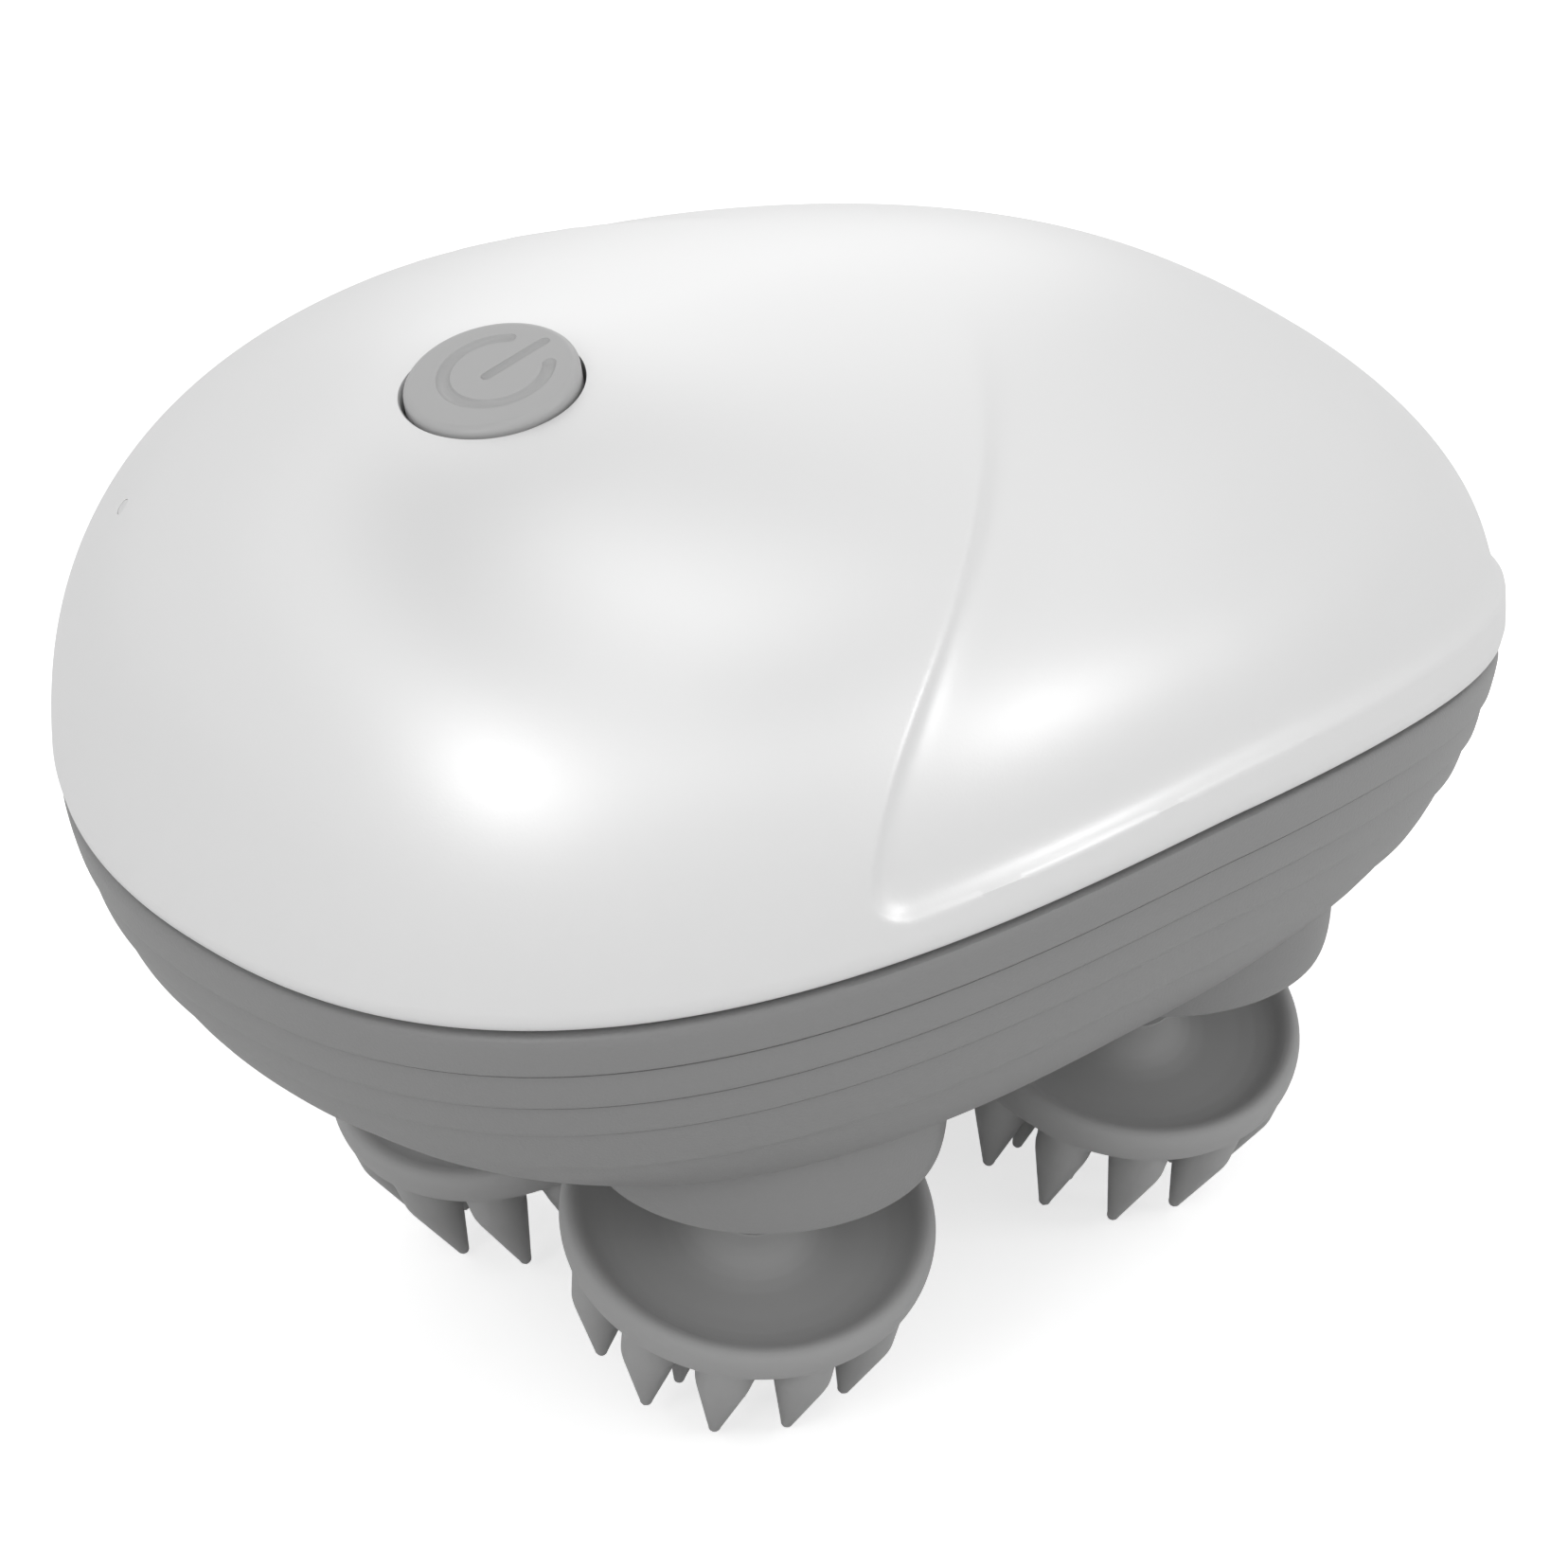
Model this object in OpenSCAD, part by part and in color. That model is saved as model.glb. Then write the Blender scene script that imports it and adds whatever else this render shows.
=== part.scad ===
// Cordless scalp massager: an egg-shaped cover over a stepped base, a sprung power button, and four
// leaning claw heads turned together by one geared motor. Millimetres, +Z up. The origin lies on the
// surface that the claw tips stand on, under the middle of the shell. The button end is -X.

/* [Shell] */
// Length of the shell along X
body_l = 118; // [112:1:128]
// Width of the shell at the middle of its length
body_w = 79.2; // [78:0.2:86]
// Height of the cover above the joint line
cover_h = 29.8; // [29:0.2:34]
// Depth of the base below the joint line
base_h = 22.6; // [22:0.2:25]
// Wall thickness of the cover and the base
wall = 2.2; // [1.8:0.1:2.4]
// How much the plan narrows towards +X
taper = 0.18; // [0.12:0.01:0.2]
// Drop of the joint line at both ends
joint_bow = 10; // [6:0.5:11]
// Extra drop of the joint line at the +X end
joint_rake = 6.6; // [4:0.2:7]
// Gap between cover and base, filled by the seal ring
joint_gap = 0.5; // [0.4:0.1:0.8]

/* [Grip panel] */
// Depth of the stepped grip panel
panel_depth = 1.1; // [0.4:0.1:1.2]
// Height of the panel's lower edge above the joint line
panel_low = 3; // [2.5:0.1:4]

/* [Power button] */
// Radius of the button cap
button_r = 6; // [5:0.1:6.5]
// Distance that the button travels when it is pressed
button_travel = 0.6; // [0.4:0.1:0.8]
// Place of the button between the rim (0) and the crown (90) of the cover
button_level = 75; // [74:0.5:77]
// Extra tilt of the button towards the end of the shell, in degrees
button_lean = 4; // [0:0.5:5]

/* [Heads] */
// Middle of the four heads along X
head_mid_x = -2.6; // [-3:0.1:-1.5]
// Half the spacing of the heads along X
head_dx = 20; // [19.8:0.1:21]
// Half the spacing of the heads along Y
head_dy = 15.5; // [15.2:0.1:16]
// Lean of each head on its inclined shaft end, in degrees
lean = 19.7; // [14:0.1:20]
// Radius of a head
head_r = 13.5; // [13:0.1:13.8]
// Long claws on a head
claws_outer = 12; // [8:1:13]
// Short claws on a head
claws_inner = 10; // [7:1:11]

/* [Gear train] */
// Teeth of the motor pinion
pinion_teeth = 12; // [11:1:14]
// Teeth of the large wheel of the drive gear
wheel_teeth = 46; // [42:1:46]
// Module of the motor stage
motor_module = 0.7; // [0.68:0.01:0.72]
// Teeth of the small wheel of the drive gear
centre_teeth = 28; // [26:1:30]
// Teeth of each output gear
output_teeth = 30; // [28:1:31]

/* [Charging socket] */
// Radius of the socket's bore
socket_r = 1.3; // [1.2:0.05:1.5]
// Depth of the socket's bore
socket_depth = 9; // [8:0.5:9]

/* [Hidden] */
$fn = 48;

// Clearances and fits
run_fit = 0.05;       // radial clearance of a turning shaft
seat_fit = 0.02;      // gap between pieces that are pressed or glued together
button_fit = 0.35;    // gap round the button cap
gear_backlash = 0.12; // thinning of each tooth at the pitch circle

// Colours
pearl = [0.86, 0.86, 0.85];
grey = [0.47, 0.47, 0.47];
light_grey = [0.62, 0.62, 0.62];
black = [0.12, 0.12, 0.13];
steel = [0.72, 0.73, 0.75];
brass = [0.78, 0.65, 0.35];
acetal = [0.93, 0.92, 0.88];
board_green = [0.08, 0.35, 0.2];
cell_blue = [0.2, 0.35, 0.6];

// Squareness of the plan at the joint line and at the crown
plan_n = 2.22;
crown_n = 1.95;
// Roundness of the cover's profile: towards -X, towards +X, to the sides, and upwards
front_round = 2.13;
back_round = 1.9;
side_round = 1.6;
crown_round = 2.59;
// Place of the crown and height of the widest line above the joint
crown_x = -22;
widest_h = 1.4;
bulge = 1.006;
// Base: shares of the length, the width and the joint line's drop lost down the curved side, and
// more lost at the lip
flank = [0.216, 0.213, 0.216];
flank_power = 1.64;
tuck = [0.093, 0.051, 0.16];
tuck_power = 6;
// Depths of the four steps round the base, and how far each steps in
step_depths = [3.9, 7.1, 10.2, 14.9];
step_in = 0.35;

// Depths of the rings that round the lower lip
lip_depths = [18.9, 20.6, 21.9];
lip_end = 0.98;        // share of the plan kept at the edge of the underside

// Mesh of the two shells
segments = 84;
cover_levels = [0, 5, 10, 15, 20, 26, 32, 38, 44, 50, 56, 62, 67, 72, 76, 80, 84, 87.5];
lining_levels = [0, 12, 24, 36, 48, 60, 70, 79, 87];

// Heads, along each head's leaning axis and counted down from the pivot
rim_at = 8.6;          // rim of the dish
rim_h = 2.8;           // height of the rim's outer side
dish_at = 10.6;        // floor of the dish
disc_at = 11.4;        // top of the hub's disc
disc_t = 1.5;
pad_under = 13.9;      // underside of the pad
tip_at = rim_at + 12.7; // centres of the claw tips
tip_r = 0.6;
tip_ring = 10.2;       // radius of the ring of long claw tips
root_ring = head_r - 1.9;
root_r = 1.7;
inner_ring = 7.4;
inner_root_r = 1.15;
inner_tip_r = 0.45;
inner_tip_at = tip_at - 0.4;
neck_r = 3.2;
hub_r = 9;
stub_r = 2;
stub_end = 11;         // end of the inclined shaft end
shaft_r = 2.5;

// Heights
pivot_z = tip_at * cos(lean) + tip_ring * sin(lean) + tip_r;
joint_z = pivot_z + 27.1;
boss_bottom = pivot_z - 0.4;
deck_t = 1.6;
gear_t = 3.5;
gear_z = joint_z - 12;
deck_z = gear_z - 0.6 - deck_t;
wheel_t = 2.5;
wheel_z = gear_z + gear_t + 1.5;
lid_z = wheel_z + wheel_t + 1;
lid_t = 1.6;
lid_top = lid_z + lid_t;

// Head names, places and the direction that each head leans in at rest
HEADS = ["fl", "fr", "bl", "br"];
head_pos = [
  [head_mid_x - head_dx, -head_dy], [head_mid_x + head_dx, -head_dy],
  [head_mid_x - head_dx, head_dy], [head_mid_x + head_dx, head_dy]
];
lean_to = [66, 81, 2, 14];
claw_turn = 5;         // first long claw, counted from the lean's direction

// Gears
centre_distance = sqrt(head_dx * head_dx + head_dy * head_dy);
output_module = 2 * centre_distance / (centre_teeth + output_teeth);
motor_distance = motor_module * (wheel_teeth + pinion_teeth) / 2;
motor_x = head_mid_x + motor_distance;
axle_r = 1.5;
pinion_shaft_r = 1;

// Motor and battery
motor_r = 9.8;
motor_l = 12.5;
gearbox_r = 10.6;
gearbox_l = 6;
cell_r = 7.1;
cell_l = 50;
broad_post_x = cover_point(180, button_level, 0)[0] - 9; // beside the button's guide
cell_x = broad_post_x + 13;
cell_z = lid_top + 1.2 + cell_r;

// Screw places
gearbox_post_x = motor_x + gearbox_r + 3.2;                      // beyond the motor's gearbox
narrow_post_x = gearbox_post_x + 6.5 + 0.1 * (body_l - 118) / 2;  // between that post and the socket
case_posts = [[head_mid_x, -27], [head_mid_x, 27], [broad_post_x, 0], [narrow_post_x, 0]];
gearbox_posts = [[head_mid_x, -21], [head_mid_x, 21], [broad_post_x + 6, 0], [gearbox_post_x, 0]];
cover_post_r = 2.9;
base_post_r = 3.2;
gearbox_post_r = 2.7;
post_split = joint_z - 7;   // where the cover's posts meet the base's posts
case_seat = joint_z - base_h + 3;
case_screw_l = 18;
post_root = joint_z - base_h - 20;
screw_r = 1.2;
screw_hole_r = 1.3;
screw_head_r = 2.3;
screw_head_h = 1.4;

// Button stack, along the button's own axis and counted from the cover's outer face
cap_top = 0.5;
flange_r = button_r + 1.6;
shelf = -2.6;          // underside of the cover that stops the flange
flange_t = 0.8;
guide_end = shelf - flange_t - button_travel - 1.4;
flange_top = shelf - seat_fit;
stem_r = 2;
stem_end = -8;
switch_stem_r = 1.5;
switch_top = -9.2;
switch_h = 3.6;
board_top = switch_top - switch_h;
board_t = 1.2;
board_w = 28;
board_from = -7.2;
board_to = 15;
gasket_t = 0.6;
guide_r = flange_r + 0.4;
guide_wall = 1.4;

// Charging socket
socket_x = body_l / 2 - 3.6;
socket_z = joint_z + joint_drop(body_l / 2) - 4.8;
socket_nose_r = 2.6;
socket_nose_l = 3;
socket_box = [6, 7, 5.2];

// ---- Shapes that repeat ----

function signed_pow(v, p) = sign(v) * pow(abs(v), p);
function plan_x(t, n, inset) = (body_l / 2 - inset) * signed_pow(cos(t), 2 / n);
function plan_y(t, n, inset) = (body_w / 2 - inset) * signed_pow(sin(t), 2 / n) * (1 - taper * cos(t));
function along(x) = 2 * x / body_l;
function joint_drop(x) = -joint_bow * along(x) * along(x) - joint_rake * along(x);
function turns(count) = [for (i = [0:count - 1]) i * 360 / count];

// A point of the cover at plan angle t and level a (0 at the widest line, 90 at the crown)
function cover_point(t, a, inset) =
  let (
    n = plan_n + (crown_n - plan_n) * a / 90,
    end_round = (front_round + back_round) / 2 - (front_round - back_round) / 2 * cos(t),
    kx = pow(cos(a), 2 / end_round),
    ky = pow(cos(a), 2 / side_round),
    px = plan_x(t, n, inset) * bulge,
    py = plan_y(t, n, inset) * bulge,
    rise = widest_h + (cover_h - inset - widest_h) * pow(sin(a), 2 / crown_round)
  )
  [crown_x * (1 - kx) + kx * px, ky * py, joint_z + rise + cos(a) * joint_drop(kx * px)];

function joint_point(t, inset) =
  let (x = plan_x(t, plan_n, inset))
  [x, plan_y(t, plan_n, inset), joint_z + joint_drop(x)];

// The grip panel: everything behind a slanting edge and above a line that follows the joint
panel_foot_x = -0.29 * body_l;
panel_curve = 0.00175;
panel_top_h = 28;
panel_soft = 2.6;
function height_over_joint(p) = p.z - joint_z - joint_drop(p.x);
function panel_edge_x(h) = panel_foot_x + panel_curve * pow(max(h, 0), 3);
function smooth(v) = let (c = min(max(v, 0), 1)) c * c * (3 - 2 * c);
function panel_inset(p) =
  let (
    h = height_over_joint(p),
    up = h - panel_low,
    back = (p.x - panel_edge_x(h)) * 0.7,
    inside = up > 0 && back > 0 ? up * back / sqrt(up * up + back * back) : 0,
    fade = 1 - 0.75 * smooth(h / panel_top_h)
  )
  panel_depth * fade * smooth(inside / panel_soft);
function cover_skin_point(t, a) = cover_point(t, a, panel_inset(cover_point(t, a, 0)));

// A point of the base at plan angle t and depth d below the joint, with the plan scaled by s
function base_scale(d, i) =
  1 - flank[i] * pow(d / base_h, flank_power) - tuck[i] * pow(d / base_h, tuck_power);
function base_point(t, d, s, inset) =
  let (x = plan_x(t, plan_n, inset))
  [
    x * s * base_scale(d, 0),
    plan_y(t, plan_n, inset) * s * base_scale(d, 1),
    joint_z - d + joint_drop(x) * base_scale(d, 2)
  ];

// Triangles between two rings that start at points a and b, and a fan from a ring to one point
function band(a, b, n, flip) = [
  for (i = [0:n - 1]) let (j = (i + 1) % n)
    each flip
      ? [[a + i, a + j, b + j], [a + i, b + j, b + i]]
      : [[a + i, b + j, a + j], [a + i, b + i, b + j]]
];
function fan(a, tip, n, flip) = [
  for (i = [0:n - 1]) let (j = (i + 1) % n) flip ? [a + i, a + j, tip] : [a + i, tip, a + j]
];

// A closed skin from an outer stack of rings and an inner stack, each closed by a tip point.
// Both stacks start at the rim, and flip turns the skin's outside over for a stack that goes down.
module double_skin(outer, outer_tip, inner, inner_tip, flip) {
  n = len(outer[0]);
  m = len(outer);
  k = len(inner);
  points = concat([for (r = outer) each r], [outer_tip], [for (r = inner) each r], [inner_tip]);
  inner_start = m * n + 1;
  polyhedron(points, concat(
    [for (i = [0:m - 2]) each band(i * n, (i + 1) * n, n, flip)],
    fan((m - 1) * n, m * n, n, flip),
    band(0, inner_start, n, !flip),
    [for (i = [0:k - 2]) each band(inner_start + i * n, inner_start + (i + 1) * n, n, !flip)],
    fan(inner_start + (k - 1) * n, inner_start + k * n, n, !flip)
  ));
}

// A solid from one stack of rings, closed by a point at each end
module single_skin(rings, first_tip, last_tip, flip) {
  n = len(rings[0]);
  m = len(rings);
  polyhedron(concat([for (r = rings) each r], [first_tip], [last_tip]), concat(
    [for (i = [0:m - 2]) each band(i * n, (i + 1) * n, n, flip)],
    fan((m - 1) * n, m * n + 1, n, flip),
    fan(0, m * n, n, !flip)
  ));
}

// Solid under the cover's skin at a given inset, reaching 8 below the joint: it trims posts
module cover_fill(inset) {
  rings = concat(
    [[for (t = turns(segments)) joint_point(t, inset) - [0, 0, 8]]],
    [for (a = lining_levels) [for (t = turns(segments)) cover_point(t, a, inset)]]
  );
  single_skin(rings, [0, 0, joint_z - 8], [crown_x, 0, joint_z + cover_h - inset], false);
}

// Solid inside the base's skin at a given inset, reaching above the joint
module base_fill(inset) {
  rings = concat(
    [[for (t = turns(segments)) base_point(t, 0, 1, inset) + [0, 0, 6]]],
    [for (d = base_depths(inset)) [for (t = turns(segments)) base_point(t, d, 1, inset)]]
  );
  single_skin(rings, [0, 0, joint_z + 6], [0, 0, joint_z - base_h + inset], true);
}
function base_depths(inset) = [joint_gap, 5, 10, 15, 18, base_h - inset];

// Flat plate with the plan's outline, scaled by s
module plan_plate(s, z, t) {
  translate([0, 0, z])
    linear_extrude(t)
      polygon([for (a = turns(60)) [plan_x(a, plan_n, wall) * s, plan_y(a, plan_n, wall) * s]]);
}

// Ring with a round bore
module ring(r_out, r_in, h) {
  difference() {
    cylinder(r = r_out, h = h);
    translate([0, 0, -1])
      cylinder(r = r_in, h = h + 2);
  }
}

// Involute spur gear outline: half the tooth's angle at radius r, and the points of one tooth
pressure_angle = 20;
function involute(a) = tan(a) * 180 / PI - a;
function half_tooth(r, base_r, teeth, mod) =
  90 / teeth - gear_backlash / (mod * teeth) * 180 / PI / 2 + involute(pressure_angle)
  - involute(acos(min(base_r / r, 1)));
function polar(r, a) = [r * cos(a), r * sin(a)];
function gear_points(teeth, mod) =
  let (
    pitch_r = mod * teeth / 2,
    base_r = pitch_r * cos(pressure_angle),
    root_r = pitch_r - 1.2 * mod,
    tip_r = pitch_r + 0.92 * mod,
    start_r = max(base_r, root_r),
    radii = [for (i = [0:4]) start_r + (tip_r - start_r) * i / 4]
  )
  [
    for (k = [0:teeth - 1]) let (c = k * 360 / teeth) each concat(
      [polar(root_r, c - half_tooth(start_r, base_r, teeth, mod) - 0.3)],
      [for (r = radii) polar(r, c - half_tooth(r, base_r, teeth, mod))],
      [for (i = [4:-1:0]) polar(radii[i], c + half_tooth(radii[i], base_r, teeth, mod))],
      [polar(root_r, c + half_tooth(start_r, base_r, teeth, mod) + 0.3)]
    )
  ];
module gear(teeth, mod, t, phase) {
  rotate([0, 0, phase])
    linear_extrude(t)
      polygon(gear_points(teeth, mod));
}

// Phase of a gear that meshes with one of the given teeth and phase, lying in direction dir from it
function mesh_phase(teeth, phase, other_teeth, dir) =
  let (offset = (dir - phase) * teeth / 360)
  dir + 180 - (0.5 - offset) * 360 / other_teeth;

// A post hole pattern, a screw and a frame for the button and the heads
module at_posts(places) {
  for (p = places)
    translate([p.x, p.y, 0])
      children();
}
module screw(head_z, length, up) {
  translate([0, 0, head_z])
    mirror([0, 0, up ? 0 : 1]) {
      translate([0, 0, -screw_head_h])
        difference() {
          cylinder(r = screw_head_r - 0.2, h = screw_head_h);
          translate([0, 0, -1])
            cylinder(r = 1.1, h = 1.7, $fn = 6);
        }
      cylinder(r = screw_r, h = length);
    }
}
button_pos = cover_point(180, button_level, 0);
button_step = cover_point(180, button_level + 2, 0) - cover_point(180, button_level - 2, 0);
button_tilt = atan2(button_step.z, button_step.x) + button_lean;
module at_button() {
  translate(button_pos)
    rotate([0, -button_tilt, 0])
      children();
}
module at_head(i) {
  translate([head_pos[i].x, head_pos[i].y, pivot_z])
    rotate([0, 0, lean_to[i]])
      rotate([0, -lean, 0])
        children();
}
module at_shaft(i) {
  translate([head_pos[i].x, head_pos[i].y, 0])
    children();
}

// ---- Shell ----

module top_cover() {
  color(pearl)
    difference() {
      union() {
        double_skin(
          concat(
            [[for (t = turns(segments)) joint_point(t, 0)]],
            [for (a = cover_levels) [for (t = turns(segments)) cover_skin_point(t, a)]]
          ),
          [crown_x, 0, joint_z + cover_h],
          concat(
            [[for (t = turns(segments)) joint_point(t, wall)]],
            [for (a = lining_levels) [for (t = turns(segments)) cover_point(t, a, wall)]]
          ),
          [crown_x, 0, joint_z + cover_h - wall],
          false
        );
        intersection() {
          cover_fill(wall / 2);
          union() {
            at_posts(case_posts)
              translate([0, 0, post_split])
                cylinder(r = cover_post_r, h = cover_h + 7);
            at_button() {
              translate([0, 0, guide_end])
                cylinder(r = guide_r + guide_wall, h = 4);
              at_posts(board_holes)
                translate([0, 0, board_top + seat_fit])
                  cylinder(r = board_post_r, h = -board_top);
            }
          }
        }
      }
      at_button() {
        translate([0, 0, shelf - 1])
          cylinder(r = button_r + button_fit, h = 8);
        translate([0, 0, guide_end - 3])
          cylinder(r = guide_r, h = shelf - guide_end + 3);
        translate([0, 0, guide_end - 3])
          cylinder(r = guide_r + guide_wall + 0.3, h = 3);
        at_posts(board_holes)
          translate([0, 0, board_top - 1])
            cylinder(r = screw_hole_r, h = 6.5);
      }
      at_posts(case_posts)
        translate([0, 0, post_split - 1])
          cylinder(r = screw_hole_r, h = 9);
      at_window()
        translate([0, 0, -4])
          cylinder(r = window_r + seat_fit, h = 6);
    }
}

module base_shell() {
  rims = concat(
    [[joint_gap, 1]],
    [for (d = step_depths) each [[d, 1], [d + 0.05, 1 - step_in * 2 / body_w]]],
    [for (d = lip_depths) [d, 1]],
    [[base_h, lip_end]]
  );
  color(grey)
    difference() {
      union() {
        double_skin(
          [for (r = rims) [for (t = turns(segments)) base_point(t, r[0], r[1], 0)]],
          [0, 0, joint_z - base_h],
          [for (d = base_depths(wall)) [for (t = turns(segments)) base_point(t, d, 1, wall)]],
          [0, 0, joint_z - base_h + wall],
          true
        );
        intersection() {
          base_fill(wall / 2);
          union() {
            at_posts(gearbox_posts)
              translate([0, 0, post_root])
                cylinder(r = gearbox_post_r, h = deck_z - post_root - seat_fit);
            at_posts(case_posts)
              translate([0, 0, post_root])
                cylinder(r = base_post_r, h = post_split - post_root - seat_fit);
          }
        }
      }
      for (i = [0:3])
        at_shaft(i)
          translate([0, 0, post_root])
            cylinder(r = boss_r + seat_fit, h = boss_top - post_root);
      at_posts(case_posts) {
        translate([0, 0, post_root])
          cylinder(r = screw_hole_r, h = post_split - post_root + 1);
        translate([0, 0, post_root])
          cylinder(r = screw_head_r, h = case_seat - post_root);
      }
      at_posts(gearbox_posts)
        translate([0, 0, deck_z - 5])
          cylinder(r = screw_hole_r, h = 10);
      translate([socket_x - 6, 0, socket_z])
        rotate([0, 90, 0])
          cylinder(r = socket_nose_r + seat_fit, h = 20);
    }
}

module seal_ring() {
  lip_in = 0.8;
  lip_out = 1.9;
  color(black)
    polyhedron(
      concat(
        [for (t = turns(segments)) joint_point(t, lip_in) - [0, 0, seat_fit]],
        [for (t = turns(segments)) joint_point(t, lip_in) - [0, 0, joint_gap - seat_fit]],
        [for (t = turns(segments)) joint_point(t, lip_out) - [0, 0, joint_gap - seat_fit]],
        [for (t = turns(segments)) joint_point(t, lip_out) - [0, 0, seat_fit]]
      ),
      concat(
        band(0, segments, segments, true),
        band(segments, 2 * segments, segments, true),
        band(2 * segments, 3 * segments, segments, true),
        band(3 * segments, 0, segments, true)
      )
    );
}

// Indicator window: a small clear plug in the cover's front shoulder
window_r = 0.6;
window_at = 147;
window_level = 29;
window_tilt = 48;
window_t = 2.2;
module at_window() {
  p = cover_point(window_at, window_level, 0);
  translate(p)
    rotate([0, 0, atan2(p.y, p.x - crown_x)])
      rotate([0, window_tilt, 0])
        children();
}
module indicator_window() {
  color(light_grey)
    at_window()
      translate([0, 0, -window_t])
        cylinder(r = window_r, h = window_t);
}

// ---- Button and electronics ----

module power_button() {
  color(light_grey)
    at_button()
      difference() {
        union() {
          rotate_extrude()
            polygon(concat(
              [[0, flange_top], [button_r, flange_top]],
              [for (a = [0:15:90]) [button_r - 1 + cos(a), cap_top - 1 + sin(a)]],
              [[0, cap_top + 0.15]]
            ));
          translate([0, 0, flange_top - flange_t])
            cylinder(r = flange_r, h = flange_t);
          translate([0, 0, stem_end])
            cylinder(r = stem_r, h = flange_top - stem_end);
        }
        translate([0, 0, cap_top - 0.2])
          power_sign();
      }
}

// Broken ring and bar, sunk into the cap. The bar points to +X.
module power_sign() {
  difference() {
    ring(3.3, 2.5, 1);
    translate([0, -1.3, -1])
      cube([5, 2.6, 3]);
  }
  translate([0.3, -0.4, 0])
    cube([3.9, 0.8, 1]);
}

module button_gasket() {
  color(black)
    at_button()
      translate([0, 0, guide_end - seat_fit - gasket_t])
        ring(guide_r + guide_wall, stem_r + 0.2, gasket_t);
}

module switch_stem() {
  color(black)
    at_button()
      translate([0, 0, stem_end - 2.6])
        cylinder(r = switch_stem_r, h = 2.6 - seat_fit);
}

module switch_body() {
  color(steel)
    at_button()
      difference() {
        translate([-3, -3, board_top + seat_fit])
          cube([6, 6, switch_h - seat_fit]);
        translate([0, 0, board_top + 1.2])
          cylinder(r = switch_stem_r + run_fit, h = switch_h);
      }
}

board_holes = [[board_from + 2.5, 2.5 - board_w / 2], [board_from + 2.5, board_w / 2 - 2.5]];
board_post_r = 2.4;
module main_board() {
  color(board_green)
    at_button()
      difference() {
        translate([board_from, -board_w / 2, board_top - board_t])
          cube([board_to - board_from, board_w, board_t]);
        at_posts(board_holes)
          translate([0, 0, board_top - board_t - 1])
            cylinder(r = screw_hole_r, h = board_t + 2);
      }
}

module board_screws() {
  color(steel)
    at_button()
      at_posts(board_holes)
        screw(board_top - board_t - seat_fit, board_t + 5, true);
}

module indicator_lamp() {
  color(acetal)
    at_button()
      translate([board_from + 2, board_w / 4, board_top + seat_fit]) {
        cube([2, 1.2, 0.6]);
        translate([1, 0.6, 0.6])
          cylinder(r = 0.5, h = 0.3);
      }
}

module charging_socket() {
  color(black)
    difference() {
      union() {
        translate([socket_x - socket_nose_l - socket_box.x, -socket_box.y / 2, socket_z - socket_box.z / 2])
          cube(socket_box);
        translate([socket_x - socket_nose_l, 0, socket_z])
          rotate([0, 90, 0])
            cylinder(r = socket_nose_r, h = socket_nose_l);
      }
      translate([socket_x - socket_depth, 0, socket_z])
        rotate([0, 90, 0])
          cylinder(r = socket_r, h = socket_depth + 1);
    }
}

module battery_cell() {
  color(cell_blue)
    translate([cell_x, cell_l / 2, cell_z])
      rotate([90, 0, 0]) {
        cylinder(r = cell_r, h = cell_l);
        translate([0, 0, cell_l])
          cylinder(r = 2.7, h = 1);
      }
}

module battery_cradle() {
  color(black)
    difference() {
      translate([cell_x - cell_r - 1, -cell_l / 2 + 4, lid_top + seat_fit])
        cube([2 * cell_r + 2, cell_l - 8, cell_r * 0.9]);
      translate([cell_x, cell_l / 2, cell_z])
        rotate([90, 0, 0])
          cylinder(r = cell_r + seat_fit, h = cell_l);
      translate([cell_x - cell_r - 2, -8, lid_top + 1.4])
        cube([2 * cell_r + 4, 16, cell_r]);
      at_posts(gearbox_posts)
        translate([0, 0, lid_top - 1])
          cylinder(r = screw_head_r + 0.4, h = 4);
    }
}

// ---- Drive ----

module motor() {
  color(steel)
    translate([motor_x, 0, lid_top + gearbox_l + seat_fit]) {
      cylinder(r = motor_r, h = motor_l);
      translate([0, 0, motor_l])
        cylinder(r = 3, h = 1.2);
    }
}

module motor_gearbox() {
  color(brass)
    difference() {
      translate([motor_x, 0, lid_top])
        cylinder(r = gearbox_r, h = gearbox_l);
      translate([motor_x, 0, lid_top - 1])
        cylinder(r = pinion_shaft_r + run_fit, h = 5);
      at_posts(motor_holes)
        translate([0, 0, lid_top - 1])
          cylinder(r = screw_hole_r, h = 4.5);
    }
}

motor_holes = [[motor_x, -8], [motor_x, 8]];
module motor_screws() {
  color(steel)
    at_posts(motor_holes)
      translate([0, 0, lid_z])
        screw(0, lid_t + 3, true);
}

centre_phase = 0;
wheel_phase = 0;
pinion_phase = mesh_phase(wheel_teeth, wheel_phase, pinion_teeth, 0);
module motor_pinion() {
  color(steel)
    translate([motor_x, 0, 0]) {
      translate([0, 0, wheel_z - 0.3])
        gear(pinion_teeth, motor_module, wheel_t + 0.6, pinion_phase);
      translate([0, 0, wheel_z])
        cylinder(r = pinion_shaft_r, h = lid_top + 3 - wheel_z);
    }
}

module drive_gear() {
  color(acetal)
    translate([head_mid_x, 0, 0])
      difference() {
        union() {
          translate([0, 0, gear_z - 0.2])
            gear(centre_teeth, output_module, gear_t + 0.4, centre_phase);
          translate([0, 0, wheel_z])
            gear(wheel_teeth, motor_module, wheel_t, wheel_phase);
          translate([0, 0, gear_z])
            cylinder(r = 5, h = wheel_z + wheel_t - gear_z + 0.4);
        }
        translate([0, 0, gear_z - 2])
          cylinder(r = axle_r + run_fit, h = 20);
      }
}

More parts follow.
